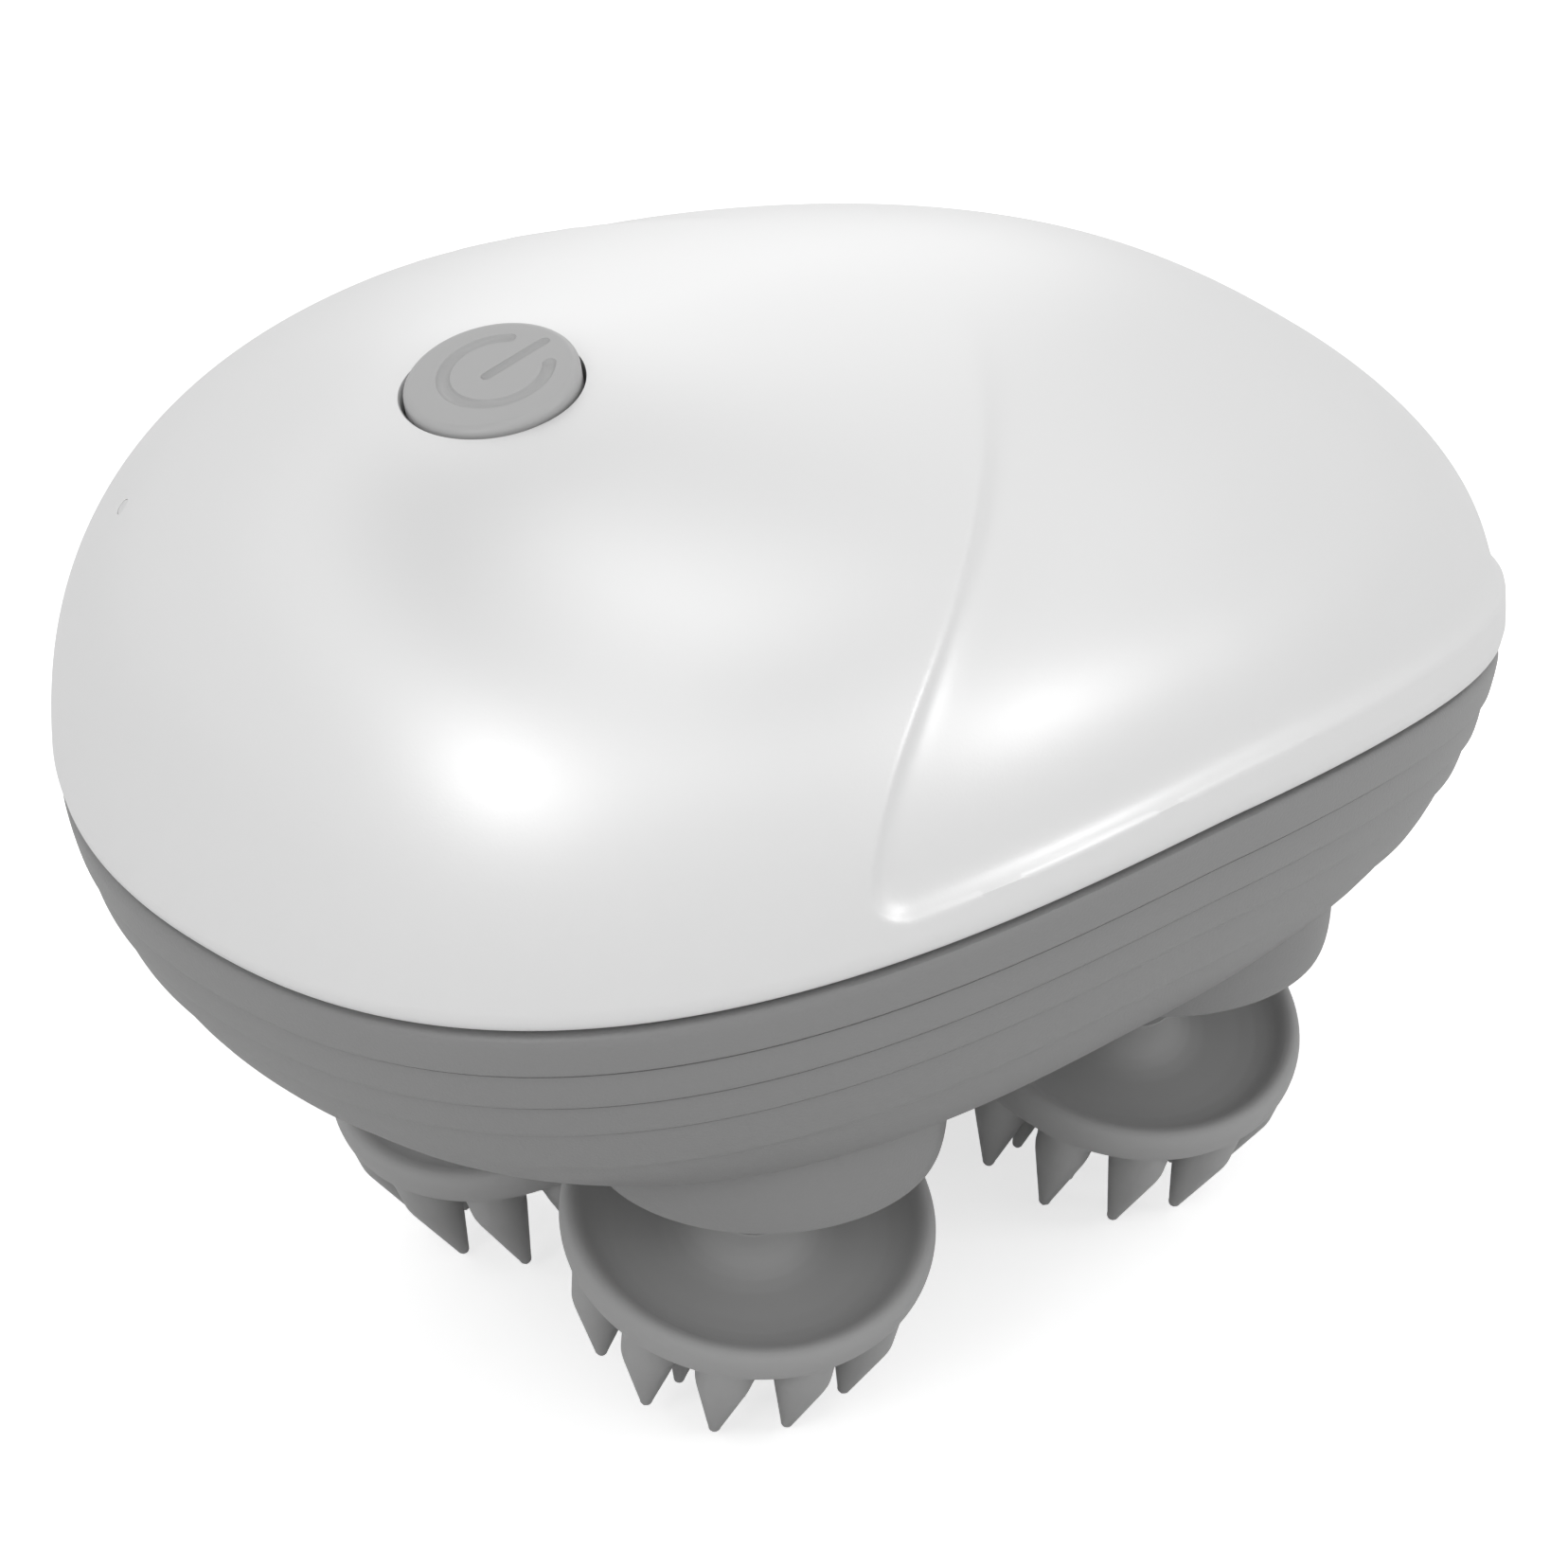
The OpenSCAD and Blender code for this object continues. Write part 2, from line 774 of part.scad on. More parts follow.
module drive_axle() {
  color(steel)
    translate([head_mid_x, 0, deck_z])
      cylinder(r = axle_r, h = lid_top - deck_z);
}

module gear_deck() {
  color(light_grey)
    difference() {
      plan_plate(0.8, deck_z, deck_t);
      for (i = [0:3])
        at_shaft(i)
          translate([0, 0, deck_z - 1])
            cylinder(r = shaft_r + run_fit, h = deck_t + 2);
      translate([head_mid_x, 0, deck_z - 1])
        cylinder(r = axle_r + seat_fit, h = deck_t + 2);
      at_posts(gearbox_posts)
        translate([0, 0, deck_z - 1])
          cylinder(r = screw_hole_r, h = deck_t + 2);
      at_posts(case_posts)
        translate([0, 0, deck_z - 1])
          cylinder(r = base_post_r + 0.3, h = deck_t + 2);
    }
}

module gear_cover() {
  color(light_grey)
    difference() {
      union() {
        plan_plate(0.84, lid_z, lid_t);
        at_posts(gearbox_posts)
          translate([0, 0, deck_z + deck_t + seat_fit])
            cylinder(r = gearbox_post_r, h = lid_z - deck_z - deck_t);
      }
      for (i = [0:3])
        at_shaft(i)
          translate([0, 0, lid_z - 1])
            cylinder(r = shaft_r + run_fit, h = lid_t + 2);
      translate([head_mid_x, 0, lid_z - 1])
        cylinder(r = axle_r + seat_fit, h = lid_t + 2);
      translate([motor_x, 0, lid_z - 1])
        cylinder(r = pinion_shaft_r + 1, h = lid_t + 2);
      at_posts(motor_holes)
        translate([0, 0, lid_z - 1])
          cylinder(r = screw_hole_r, h = lid_t + 2);
      at_posts(gearbox_posts)
        translate([0, 0, deck_z])
          cylinder(r = screw_hole_r, h = 20);
      at_posts(case_posts)
        translate([0, 0, lid_z - 1])
          cylinder(r = base_post_r + 0.3, h = lid_t + 2);
    }
}

module case_screws() {
  color(steel)
    at_posts(case_posts)
      screw(case_seat - seat_fit, case_screw_l, true);
}

module gearbox_screws() {
  color(steel)
    at_posts(gearbox_posts)
      screw(lid_top + seat_fit, lid_top - deck_z + 4, false);
}

// ---- Output stages ----

boss_r = 12.9;
boss_lip_r = 12.2;
boss_curve_h = 3.6;    // height over which the lip swells to the neck's full radius
boss_wall = 1.3;
roof_z = 4.8;          // underside of the neck's roof above the lip
roof_t = 3;
roof_spring_r = 8.6;   // where the dome under the roof starts to curve down, and how high it ends
roof_spring_z = 1.2;
tube_r = 5;
tube_drop = 2.4;
bush_r = 3.6;
bush_l = 7;
bush_z = boss_bottom + 5;
seal_z = boss_bottom + 2.9;
seal_t = 1.6;
seal_r = 4.2;
boss_top = deck_z - 0.4;

// Neck: a hollow skirt round a bearing tube, pressed into the base
module neck_boss(i) {
  color(grey)
    at_shaft(i)
      difference() {
        rotate_extrude()
          polygon(concat(
            [[0, boss_bottom + tube_drop], [tube_r, boss_bottom + tube_drop], [tube_r, boss_bottom + roof_z]],
            [for (a = [90:-15:0]) [
              roof_spring_r + (boss_lip_r - boss_wall - roof_spring_r) * cos(a),
              boss_bottom + roof_spring_z + (roof_z - roof_spring_z) * sin(a)
            ]],
            [[boss_lip_r - 0.7, boss_bottom]],
            [for (a = [0:15:90]) [
              boss_lip_r + (boss_r - boss_lip_r) * sin(a),
              boss_bottom + boss_curve_h * (1 - cos(a))
            ]],
            [[boss_r, boss_bottom + roof_z + roof_t], [tube_r, boss_bottom + roof_z + roof_t],
             [tube_r, boss_top], [0, boss_top]]
          ));
        translate([0, 0, bush_z])
          cylinder(r = bush_r + seat_fit, h = boss_top - bush_z + 1);
        translate([0, 0, boss_bottom])
          cylinder(r = shaft_r + 0.3, h = boss_top - boss_bottom + 1);
        translate([0, 0, boss_bottom])
          cylinder(r = seal_r + seat_fit, h = seal_z - boss_bottom + seal_t);
      }
}

module bush(i) {
  color(brass)
    at_shaft(i)
      translate([0, 0, bush_z + seat_fit])
        ring(bush_r, shaft_r + run_fit, bush_l);
}

module shaft_seal(i) {
  color(black)
    at_shaft(i)
      translate([0, 0, seal_z])
        ring(seal_r, shaft_r + 0.1, seal_t);
}

module output_gear(i) {
  dir = atan2(head_pos[i].y, head_pos[i].x - head_mid_x);
  phase = mesh_phase(centre_teeth, centre_phase, output_teeth, dir);
  color(acetal)
    at_shaft(i)
      difference() {
        union() {
          translate([0, 0, gear_z])
            gear(output_teeth, output_module, gear_t, phase);
          translate([0, 0, gear_z - 0.4])
            cylinder(r = 5, h = gear_t + 2);
        }
        translate([0, 0, gear_z - 2])
          cylinder(r = shaft_r + seat_fit, h = gear_t + 6);
      }
}

// Straight journal, and an inclined end that the hub is pressed on
module output_shaft(i) {
  color(steel)
    union() {
      at_shaft(i)
        translate([0, 0, pivot_z])
          cylinder(r = shaft_r, h = lid_top - 0.2 - pivot_z);
      at_head(i)
        translate([0, 0, -stub_end])
          cylinder(r = stub_r, h = stub_end + 1);
      at_shaft(i)
        translate([0, 0, pivot_z])
          sphere(r = shaft_r);
    }
}

module hub_shape(grow) {
  translate([0, 0, -disc_at - disc_t - grow])
    cylinder(r = hub_r + grow, h = disc_t + 2 * grow);
  translate([0, 0, -disc_at])
    cylinder(r = neck_r + grow, h = disc_at - 4 + grow);
}

module head_hub(i) {
  color(black)
    at_head(i)
      difference() {
        hub_shape(0);
        translate([0, 0, -stub_end - seat_fit])
          cylinder(r = stub_r + seat_fit, h = stub_end);
      }
}

// Cone that tapers from a root to a rounded tip
module claw(root, root_radius, tip, tip_radius) {
  d = tip - root;
  length = norm(d);
  translate(root)
    rotate([0, acos(d.z / length), atan2(d.y, d.x)])
      cylinder(r1 = root_radius, r2 = tip_radius, h = length, $fn = 24);
  translate(tip)
    sphere(r = tip_radius, $fn = 24);
}

module claw_pad(i) {
  color(grey)
    at_head(i)
      difference() {
        union() {
          rotate_extrude()
            polygon([
              [0, -dish_at], [6, -dish_at], [9.2, -dish_at + 0.5], [head_r - 1.2, -rim_at - 0.25],
              [head_r - 0.7, -rim_at], [head_r - 0.3, -rim_at - 0.3], [head_r, -rim_at - rim_h + 0.6],
              [head_r - 0.2, -rim_at - rim_h], [root_ring + 0.6, -pad_under + 0.3],
              [root_ring - 0.4, -pad_under], [0, -pad_under]
            ]);
          translate([0, 0, -dish_at - 0.2])
            cylinder(r1 = neck_r + 1, r2 = neck_r + 0.6, h = 2.2);
          for (a = turns(claws_outer))
            rotate([0, 0, a + claw_turn])
              claw([root_ring - 0.3, 0, -pad_under + 1.2], root_r, [tip_ring, 0, -tip_at], tip_r);
          for (a = turns(claws_inner))
            rotate([0, 0, a + claw_turn + 180 / claws_inner])
              claw([inner_ring + 0.3, 0, -pad_under + 0.5], inner_root_r, [inner_ring, 0, -inner_tip_at],
                inner_tip_r);
        }
        hub_shape(seat_fit);
      }
}

top_cover();
base_shell();
seal_ring();
indicator_window();
power_button();
button_gasket();
switch_stem();
switch_body();
main_board();
indicator_lamp();
charging_socket();
battery_cell();
battery_cradle();
motor();
motor_gearbox();
motor_pinion();
drive_gear();
drive_axle();
gear_deck();
gear_cover();
case_screws();
gearbox_screws();
board_screws();
motor_screws();
for (i = [0:3]) {
  neck_boss(i);
  bush(i);
  shaft_seal(i);
  output_gear(i);
  output_shaft(i);
  head_hub(i);
  claw_pad(i);
}
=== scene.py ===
"""Looks of a cordless scalp massager: a pearl cover, a stepped grey base and four claw heads.

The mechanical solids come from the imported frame. This script models the skins that are seen,
gives every piece a procedural finish, and lights the object in a plain white studio.
"""

import logging
import math
from collections.abc import Callable, Iterable, Mapping, Sequence
from dataclasses import dataclass, field
from enum import Enum

import bpy
import numpy as np
from mathutils import Matrix, Vector

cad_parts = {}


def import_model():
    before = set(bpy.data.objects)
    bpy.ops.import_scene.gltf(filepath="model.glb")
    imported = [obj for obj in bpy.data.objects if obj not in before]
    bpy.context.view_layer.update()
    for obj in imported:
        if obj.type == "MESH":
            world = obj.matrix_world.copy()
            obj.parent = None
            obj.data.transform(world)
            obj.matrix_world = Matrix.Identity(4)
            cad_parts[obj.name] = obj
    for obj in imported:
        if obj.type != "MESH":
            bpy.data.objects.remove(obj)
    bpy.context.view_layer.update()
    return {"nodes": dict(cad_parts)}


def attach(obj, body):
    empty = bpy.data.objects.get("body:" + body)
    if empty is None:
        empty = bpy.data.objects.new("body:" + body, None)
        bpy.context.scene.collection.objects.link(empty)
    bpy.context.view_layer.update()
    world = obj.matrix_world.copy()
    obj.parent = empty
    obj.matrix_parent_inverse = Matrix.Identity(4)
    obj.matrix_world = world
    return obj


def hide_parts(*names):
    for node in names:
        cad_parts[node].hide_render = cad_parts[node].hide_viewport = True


LOG = logging.getLogger("massager")
MM = 0.001
WHITE = (1.0, 1.0, 1.0, 1.0)

# Two coordinates in millimetres: radius and height in an outline, X and Y in a plan.
Point = tuple[float, float]


# ---- Names and small helpers ----


class Body(Enum):
    """The bodies that pieces ride on."""

    HOUSING = "housing"
    BUTTON = "button"


class Head(Enum):
    """The four claw heads, by the end and the side that they stand on."""

    FRONT_LEFT = "fl"
    FRONT_RIGHT = "fr"
    BACK_LEFT = "bl"
    BACK_RIGHT = "br"

    @property
    def body(self) -> str:
        """Name of the body that turns with this head."""
        return f"head_{self.value}"


def signed_power(values: np.ndarray, power: float) -> np.ndarray:
    """Raises the size of each value to a power and keeps its sign."""
    return np.sign(values) * np.abs(values) ** power


def smooth_step(values: np.ndarray | float) -> np.ndarray:
    """Eases values from 0 to 1 with level ends."""
    c = np.clip(values, 0.0, 1.0)
    return c * c * (3.0 - 2.0 * c)


def sin_cos(angle: float) -> tuple[float, float]:
    """Sine and cosine of an angle in degrees."""
    a = math.radians(angle)
    return math.sin(a), math.cos(a)


def on_arc(centre: Point, radii: Point, angles: Iterable[float]) -> list[Point]:
    """Lists points of an ellipse at angles in degrees."""
    pairs = [sin_cos(a) for a in angles]
    return [(centre[0] + radii[0] * c, centre[1] + radii[1] * s) for s, c in pairs]


def direction(azimuth: float, elevation: float) -> Vector:
    """Direction seen from the object: 0 degrees along -Y and 90 along +X, and up from the floor."""
    (sa, ca), (se, ce) = sin_cos(azimuth), sin_cos(elevation)
    return Vector((sa * ce, -ca * ce, se))


def to_matrix(origin: Sequence[float], x_axis: Vector, z_axis: Vector) -> Matrix:
    """Makes a frame from its origin and two of its axes.

    Args:
        origin: Place of the frame, in metres.
        x_axis: Direction close to the frame's X.
        z_axis: Direction of the frame's Z.

    Returns:
        The frame as a matrix.
    """
    z = z_axis.normalized()
    y = z.cross(x_axis).normalized()
    x = y.cross(z)
    made = Matrix((x, y, z)).transposed().to_4x4()
    made.translation = Vector(origin)
    return made


# ---- Finishes ----


class Graph:
    """A node tree with short steps to add and link its nodes."""

    def __init__(self, owner: bpy.types.ID, empty: bool = False) -> None:
        """Opens the tree of a material or world.

        Args:
            owner: What holds the tree.
            empty: Whether to remove the nodes it starts with.
        """
        owner.use_nodes = True
        self.nodes = owner.node_tree.nodes
        self.links = owner.node_tree.links
        if empty:
            self.nodes.clear()

    @staticmethod
    def fill(node: bpy.types.Node, inputs: Mapping[str | int, object]) -> None:
        """Sets inputs of a node by their names or numbers."""
        for key, value in inputs.items():
            node.inputs[key].default_value = value

    def add(self, kind: str, inputs: Mapping[str | int, object] | None = None,
            **settings: str) -> bpy.types.Node:
        """Adds a node.

        Args:
            kind: Type of the node.
            inputs: Values of its inputs, by name or number.
            **settings: Its own properties.

        Returns:
            The node.
        """
        made = self.nodes.new(kind)
        for key, value in settings.items():
            setattr(made, key, value)
        self.fill(made, inputs or {})
        return made

    def link(self, source: bpy.types.Node, output: str | int, target: bpy.types.Node,
             into: str | int) -> None:
        """Links an output of one node to an input of another."""
        self.links.new(source.outputs[output], target.inputs[into])


@dataclass(frozen=True)
class Finish:
    """A moulded or turned surface: base colour, gloss, fine grain and slow colour drift.

    Attributes:
        name: Name of the material.
        color: Linear base colour.
        roughness: Middle roughness.
        metallic: 1 for bare metal.
        grain: Size of the fine grain, in millimetres.
        grain_depth: Strength of the grain's bump.
        drift: How far the colour wanders, as a share.
        coat: Strength of a clear coat.
        sheen: Strength of a soft sheen.
        specular: Specular level.
        subsurface: Share of light that scatters under the surface.
        transmission: Share of light that passes through.
        coat_roughness: Roughness of the coat.
        scatter_reach: How far light scatters, in metres.
        grain_height: Height of the grain, in millimetres.
        gloss_drift: How far the roughness wanders, as a share.
        patches: Patches of the slow drift in a metre.
    """

    name: str
    color: tuple[float, float, float]
    roughness: float = 0.5
    metallic: float = 0.0
    grain: float = 0.35
    grain_depth: float = 0.05
    drift: float = 0.03
    coat: float = 0.0
    sheen: float = 0.0
    specular: float = 0.5
    subsurface: float = 0.0
    transmission: float = 0.0
    coat_roughness: float = 0.3
    scatter_reach: float = 0.002
    grain_height: float = 0.1
    gloss_drift: float = 0.07
    patches: float = 60.0

    def shade(self, share: float) -> tuple[float, float, float, float]:
        """Base colour times a share, as a colour with alpha."""
        return (*(min(c * share, 1.0) for c in self.color), 1.0)

    def build(self) -> bpy.types.Material:
        """Makes the material, or returns it if it is made already.

        Returns:
            The material.
        """
        old = bpy.data.materials.get(self.name)
        if old is not None:
            return old
        made = bpy.data.materials.new(self.name)
        graph = Graph(made)
        shader = graph.nodes["Principled BSDF"]
        graph.fill(shader, {
            "Metallic": self.metallic, "Coat Weight": self.coat,
            "Coat Roughness": self.coat_roughness, "Sheen Weight": self.sheen,
            "Specular IOR Level": self.specular, "Subsurface Weight": self.subsurface,
            "Subsurface Radius": (self.scatter_reach,) * 3,
            "Transmission Weight": self.transmission})
        coords = graph.add("ShaderNodeTexCoord")
        slow = graph.add("ShaderNodeTexNoise", {"Scale": self.patches, "Detail": 3.0})
        graph.link(coords, "Object", slow, "Vector")

        mix_a, mix_b, mixed = 6, 7, 2  # a Mix node's colour inputs and colour output
        tint = graph.add("ShaderNodeMix", {mix_a: self.shade(1.0 - self.drift),
                                           mix_b: self.shade(1.0 + self.drift)}, data_type="RGBA")
        graph.link(slow, "Fac", tint, 0)
        graph.link(tint, mixed, shader, "Base Color")

        gloss = graph.add("ShaderNodeMapRange", {
            "To Min": self.roughness * (1.0 - self.gloss_drift),
            "To Max": min(self.roughness * (1.0 + self.gloss_drift), 1.0)})
        graph.link(slow, "Fac", gloss, "Value")
        graph.link(gloss, "Result", shader, "Roughness")

        fine = graph.add("ShaderNodeTexNoise", {"Scale": 1.0 / (self.grain * MM), "Detail": 2.0})
        bump = graph.add("ShaderNodeBump", {"Strength": self.grain_depth,
                                            "Distance": self.grain_height * MM})
        graph.link(coords, "Object", fine, "Vector")
        graph.link(fine, "Fac", bump, "Height")
        graph.link(bump, "Normal", shader, "Normal")
        return made

    def dress(self, piece: bpy.types.Object) -> None:
        """Gives a piece this finish alone.

        Args:
            piece: The mesh object to dress.
        """
        made = self.build()
        slots = piece.data.materials
        for i in range(len(slots)):
            slots[i] = made
        if not slots:
            slots.append(made)


def grey(value: float) -> tuple[float, float, float]:
    """A neutral colour."""
    return (value, value, value)


PEARL = Finish("pearl_lacquer", grey(0.82), roughness=0.42, metallic=0.5, grain=0.22,
               grain_depth=0.055, drift=0.008)
GREY = Finish("grey_moulding", grey(0.235), roughness=0.42, grain=0.24, grain_depth=0.3,
              drift=0.02, specular=0.55)
CAP_GREY = Finish("button_grey", grey(0.298), roughness=0.55, grain=0.2, grain_depth=0.04,
                  drift=0.015, specular=0.4)
SILICONE = Finish("grey_silicone", grey(0.34), roughness=0.58, grain=0.3, grain_depth=0.03,
                  drift=0.02, sheen=0.12, specular=0.4, subsurface=0.04)
RUBBER = Finish("black_rubber", grey(0.02), roughness=0.7, grain_depth=0.08)
BLACK = Finish("black_moulding", (0.028, 0.028, 0.03), grain=0.25, grain_depth=0.1)
LIGHT_GREY = Finish("light_moulding", grey(0.5), roughness=0.55, grain=0.3, grain_depth=0.08)
ACETAL = Finish("natural_acetal", (0.8, 0.79, 0.74), roughness=0.4, grain=0.5, grain_depth=0.03,
                subsurface=0.1)
STEEL = Finish("turned_steel", (0.56, 0.56, 0.58), roughness=0.3, metallic=1.0, grain=0.12,
               grain_depth=0.1)
BRASS = Finish("turned_brass", (0.72, 0.55, 0.25), roughness=0.32, metallic=1.0, grain=0.12,
               grain_depth=0.1)
BOARD = Finish("solder_mask", (0.02, 0.12, 0.05), roughness=0.35, grain=0.6, grain_depth=0.1,
               drift=0.15)
WRAP = Finish("cell_wrap", (0.05, 0.14, 0.36), roughness=0.3, grain=0.6, grain_depth=0.03,
              coat=0.3)
LAMP = Finish("lamp_lens", (0.85, 0.85, 0.8), roughness=0.15, transmission=0.5, grain_depth=0.01)
FROSTED = Finish("frosted_window", grey(0.74), roughness=0.46, metallic=0.4, grain=0.2)

NODE_FINISHES: dict[str, Finish] = {
    "seal_ring": RUBBER, "button_gasket": RUBBER, "shaft_seal": RUBBER,
    "switch_stem": BLACK, "charging_socket": BLACK, "battery_cradle": BLACK, "head_hub": GREY,
    "switch_body": STEEL, "motor_pinion": STEEL, "drive_axle": STEEL, "output_shaft": STEEL,
    "case_screws": STEEL, "gearbox_screws": STEEL, "board_screws": STEEL, "motor_screws": STEEL,
    "motor_gearbox": BRASS, "bush": BRASS, "motor": STEEL, "main_board": BOARD,
    "indicator_lamp": LAMP, "battery_cell": WRAP, "drive_gear": ACETAL, "output_gear": ACETAL,
    "gear_deck": LIGHT_GREY, "gear_cover": LIGHT_GREY, "indicator_window": FROSTED,
}


def finish_for(node: str) -> Finish:
    """Picks the finish of a carried-over solid by its name.

    Args:
        node: Name of the node.

    Returns:
        Its finish.
    """
    stem, _, end = node.rpartition("_")
    return NODE_FINISHES.get(stem if end in {h.value for h in Head} else node, GREY)


# ---- Modelling bench: bpy.ops steps that the pieces share ----


class Bench:
    """Steps of hand modelling, each on one active object."""

    @staticmethod
    def clear() -> None:
        """Deselects everything and leaves edit mode."""
        if bpy.context.object is not None and bpy.context.object.mode != "OBJECT":
            bpy.ops.object.mode_set(mode="OBJECT")
        bpy.ops.object.select_all(action="DESELECT")

    @staticmethod
    def pick(piece: bpy.types.Object) -> None:
        """Makes a piece the only selected and the active one.

        Args:
            piece: The piece to pick.
        """
        Bench.clear()
        piece.select_set(True)
        bpy.context.view_layer.objects.active = piece

    @staticmethod
    def named(name: str) -> bpy.types.Object:
        """Names the active object and its mesh.

        Args:
            name: Name of both.

        Returns:
            The active object.
        """
        made = bpy.context.object
        made.name = name
        made.data.name = name
        return made

    @staticmethod
    def settle(piece: bpy.types.Object) -> None:
        """Moves a piece's place, turn and scale into its mesh."""
        Bench.pick(piece)
        bpy.ops.object.transform_apply(location=True, rotation=True, scale=True)

    @staticmethod
    def smooth(piece: bpy.types.Object, angle: float) -> None:
        """Shades a piece smooth up to an angle between faces, in degrees."""
        Bench.pick(piece)
        bpy.ops.object.shade_smooth_by_angle(angle=math.radians(angle))

    @staticmethod
    def points(piece: bpy.types.Object) -> np.ndarray:
        """Reads the places of a mesh's points.

        Args:
            piece: The piece whose mesh is read.

        Returns:
            A row of X, Y and Z for each point, in metres.
        """
        at = np.empty(len(piece.data.vertices) * 3, dtype=np.float32)
        piece.data.vertices.foreach_get("co", at)
        return at.reshape(-1, 3).astype(np.float64)

    @staticmethod
    def put_points(piece: bpy.types.Object, at: np.ndarray) -> None:
        """Moves a mesh's points to places in millimetres."""
        piece.data.vertices.foreach_set("co", (at * MM).astype(np.float32).ravel())
        piece.data.update()

    @staticmethod
    def modify(piece: bpy.types.Object, kind: str, **settings: object) -> None:
        """Adds a modifier with settings and applies it.

        Args:
            piece: The piece to change.
            kind: Modifier type, such as "BEVEL".
            **settings: Values for the modifier's own properties.
        """
        Bench.pick(piece)
        made = piece.modifiers.new(kind.lower(), kind)
        for key, value in settings.items():
            setattr(made, key, value)
        bpy.ops.object.modifier_apply(modifier=made.name)

    @staticmethod
    def cut(piece: bpy.types.Object, tool: bpy.types.Object) -> None:
        """Cuts a tool's shape out of a piece and removes the tool."""
        Bench.modify(piece, "BOOLEAN", operation="DIFFERENCE", solver="EXACT", object=tool)
        bpy.data.objects.remove(tool, do_unlink=True)

    @staticmethod
    def join(name: str, pieces: Sequence[bpy.types.Object]) -> bpy.types.Object:
        """Joins pieces into one object.

        Args:
            name: Name of the result.
            pieces: What to join.

        Returns:
            The joined object.
        """
        Bench.pick(pieces[0])
        for piece in pieces[1:]:
            piece.select_set(True)
        bpy.ops.object.join()
        return Bench.named(name)

    @staticmethod
    def cylinder(name: str, radius: float, low: float, high: float, centre: Point = (0.0, 0.0),
                 *, sides: int) -> bpy.types.Object:
        """Adds an upright cylinder, all sizes in millimetres.

        Args:
            name: Name of the object.
            radius: Its radius.
            low: Height of its lower face.
            high: Height of its upper face.
            centre: Its X and Y.
            sides: Number of sides.

        Returns:
            The cylinder.
        """
        Bench.clear()
        bpy.ops.mesh.primitive_cylinder_add(
            vertices=sides, radius=radius * MM, depth=(high - low) * MM,
            location=(centre[0] * MM, centre[1] * MM, (low + high) / 2 * MM))
        made = Bench.named(name)
        Bench.settle(made)
        return made

    @staticmethod
    def ball(radius: float, centre: tuple[float, float, float], segments: int,
             bands: int) -> bpy.types.Object:
        """Adds a sphere with its place in its mesh, all sizes in millimetres.

        Args:
            radius: Its radius.
            centre: Its X, Y and Z.
            segments: Number of segments round it.
            bands: Number of bands from pole to pole.

        Returns:
            The sphere.
        """
        Bench.clear()
        bpy.ops.mesh.primitive_uv_sphere_add(
            segments=segments, ring_count=bands, radius=radius * MM,
            location=tuple(c * MM for c in centre))
        made = bpy.context.object
        Bench.settle(made)
        return made

    @staticmethod
    def turned(name: str, outline: Sequence[Point], sides: int) -> bpy.types.Object:
        """Spins an outline round Z into a closed solid, sizes in millimetres.

        The outline starts and ends on the axis, or closes on itself away from it.

        Args:
            name: Name of the object.
            outline: Points, counter-clockwise seen with Z up and the radius to the right.
            sides: Number of steps round the axis.

        Returns:
            The turned solid.
        """
        Bench.clear()
        bpy.ops.mesh.primitive_plane_add(size=1.0)
        made = Bench.named(name)
        made.data.clear_geometry()
        on_axis, merged = 1e-6, 1e-7
        last = len(outline) - 1
        edges = [(i, i + 1) for i in range(last)]
        if outline[0][0] >= on_axis or outline[-1][0] >= on_axis:
            edges.append((last, 0))
        made.data.from_pydata([(r * MM, 0.0, z * MM) for r, z in outline], edges, [])
        bpy.ops.object.mode_set(mode="EDIT")
        bpy.ops.mesh.select_all(action="SELECT")
        bpy.ops.mesh.spin(steps=sides, angle=math.tau, center=(0, 0, 0), axis=(0, 0, 1),
                          use_auto_merge=True)
        bpy.ops.mesh.select_all(action="SELECT")
        bpy.ops.mesh.remove_doubles(threshold=merged)
        bpy.ops.mesh.normals_make_consistent(inside=False)
        bpy.ops.object.mode_set(mode="OBJECT")
        return made

    @staticmethod
    def copy_to(piece: bpy.types.Object, name: str, place: Matrix) -> bpy.types.Object:
        """Copies a piece with its own mesh and puts the place into the mesh.

        Args:
            piece: What to copy.
            name: Name of the copy.
            place: Where the copy goes.

        Returns:
            The copy, with its object at the origin.
        """
        made = piece.copy()
        made.data = piece.data.copy()
        made.name = name
        made.data.name = name
        bpy.context.collection.objects.link(made)
        made.data.transform(place)
        return made


# ---- The shell's form ----


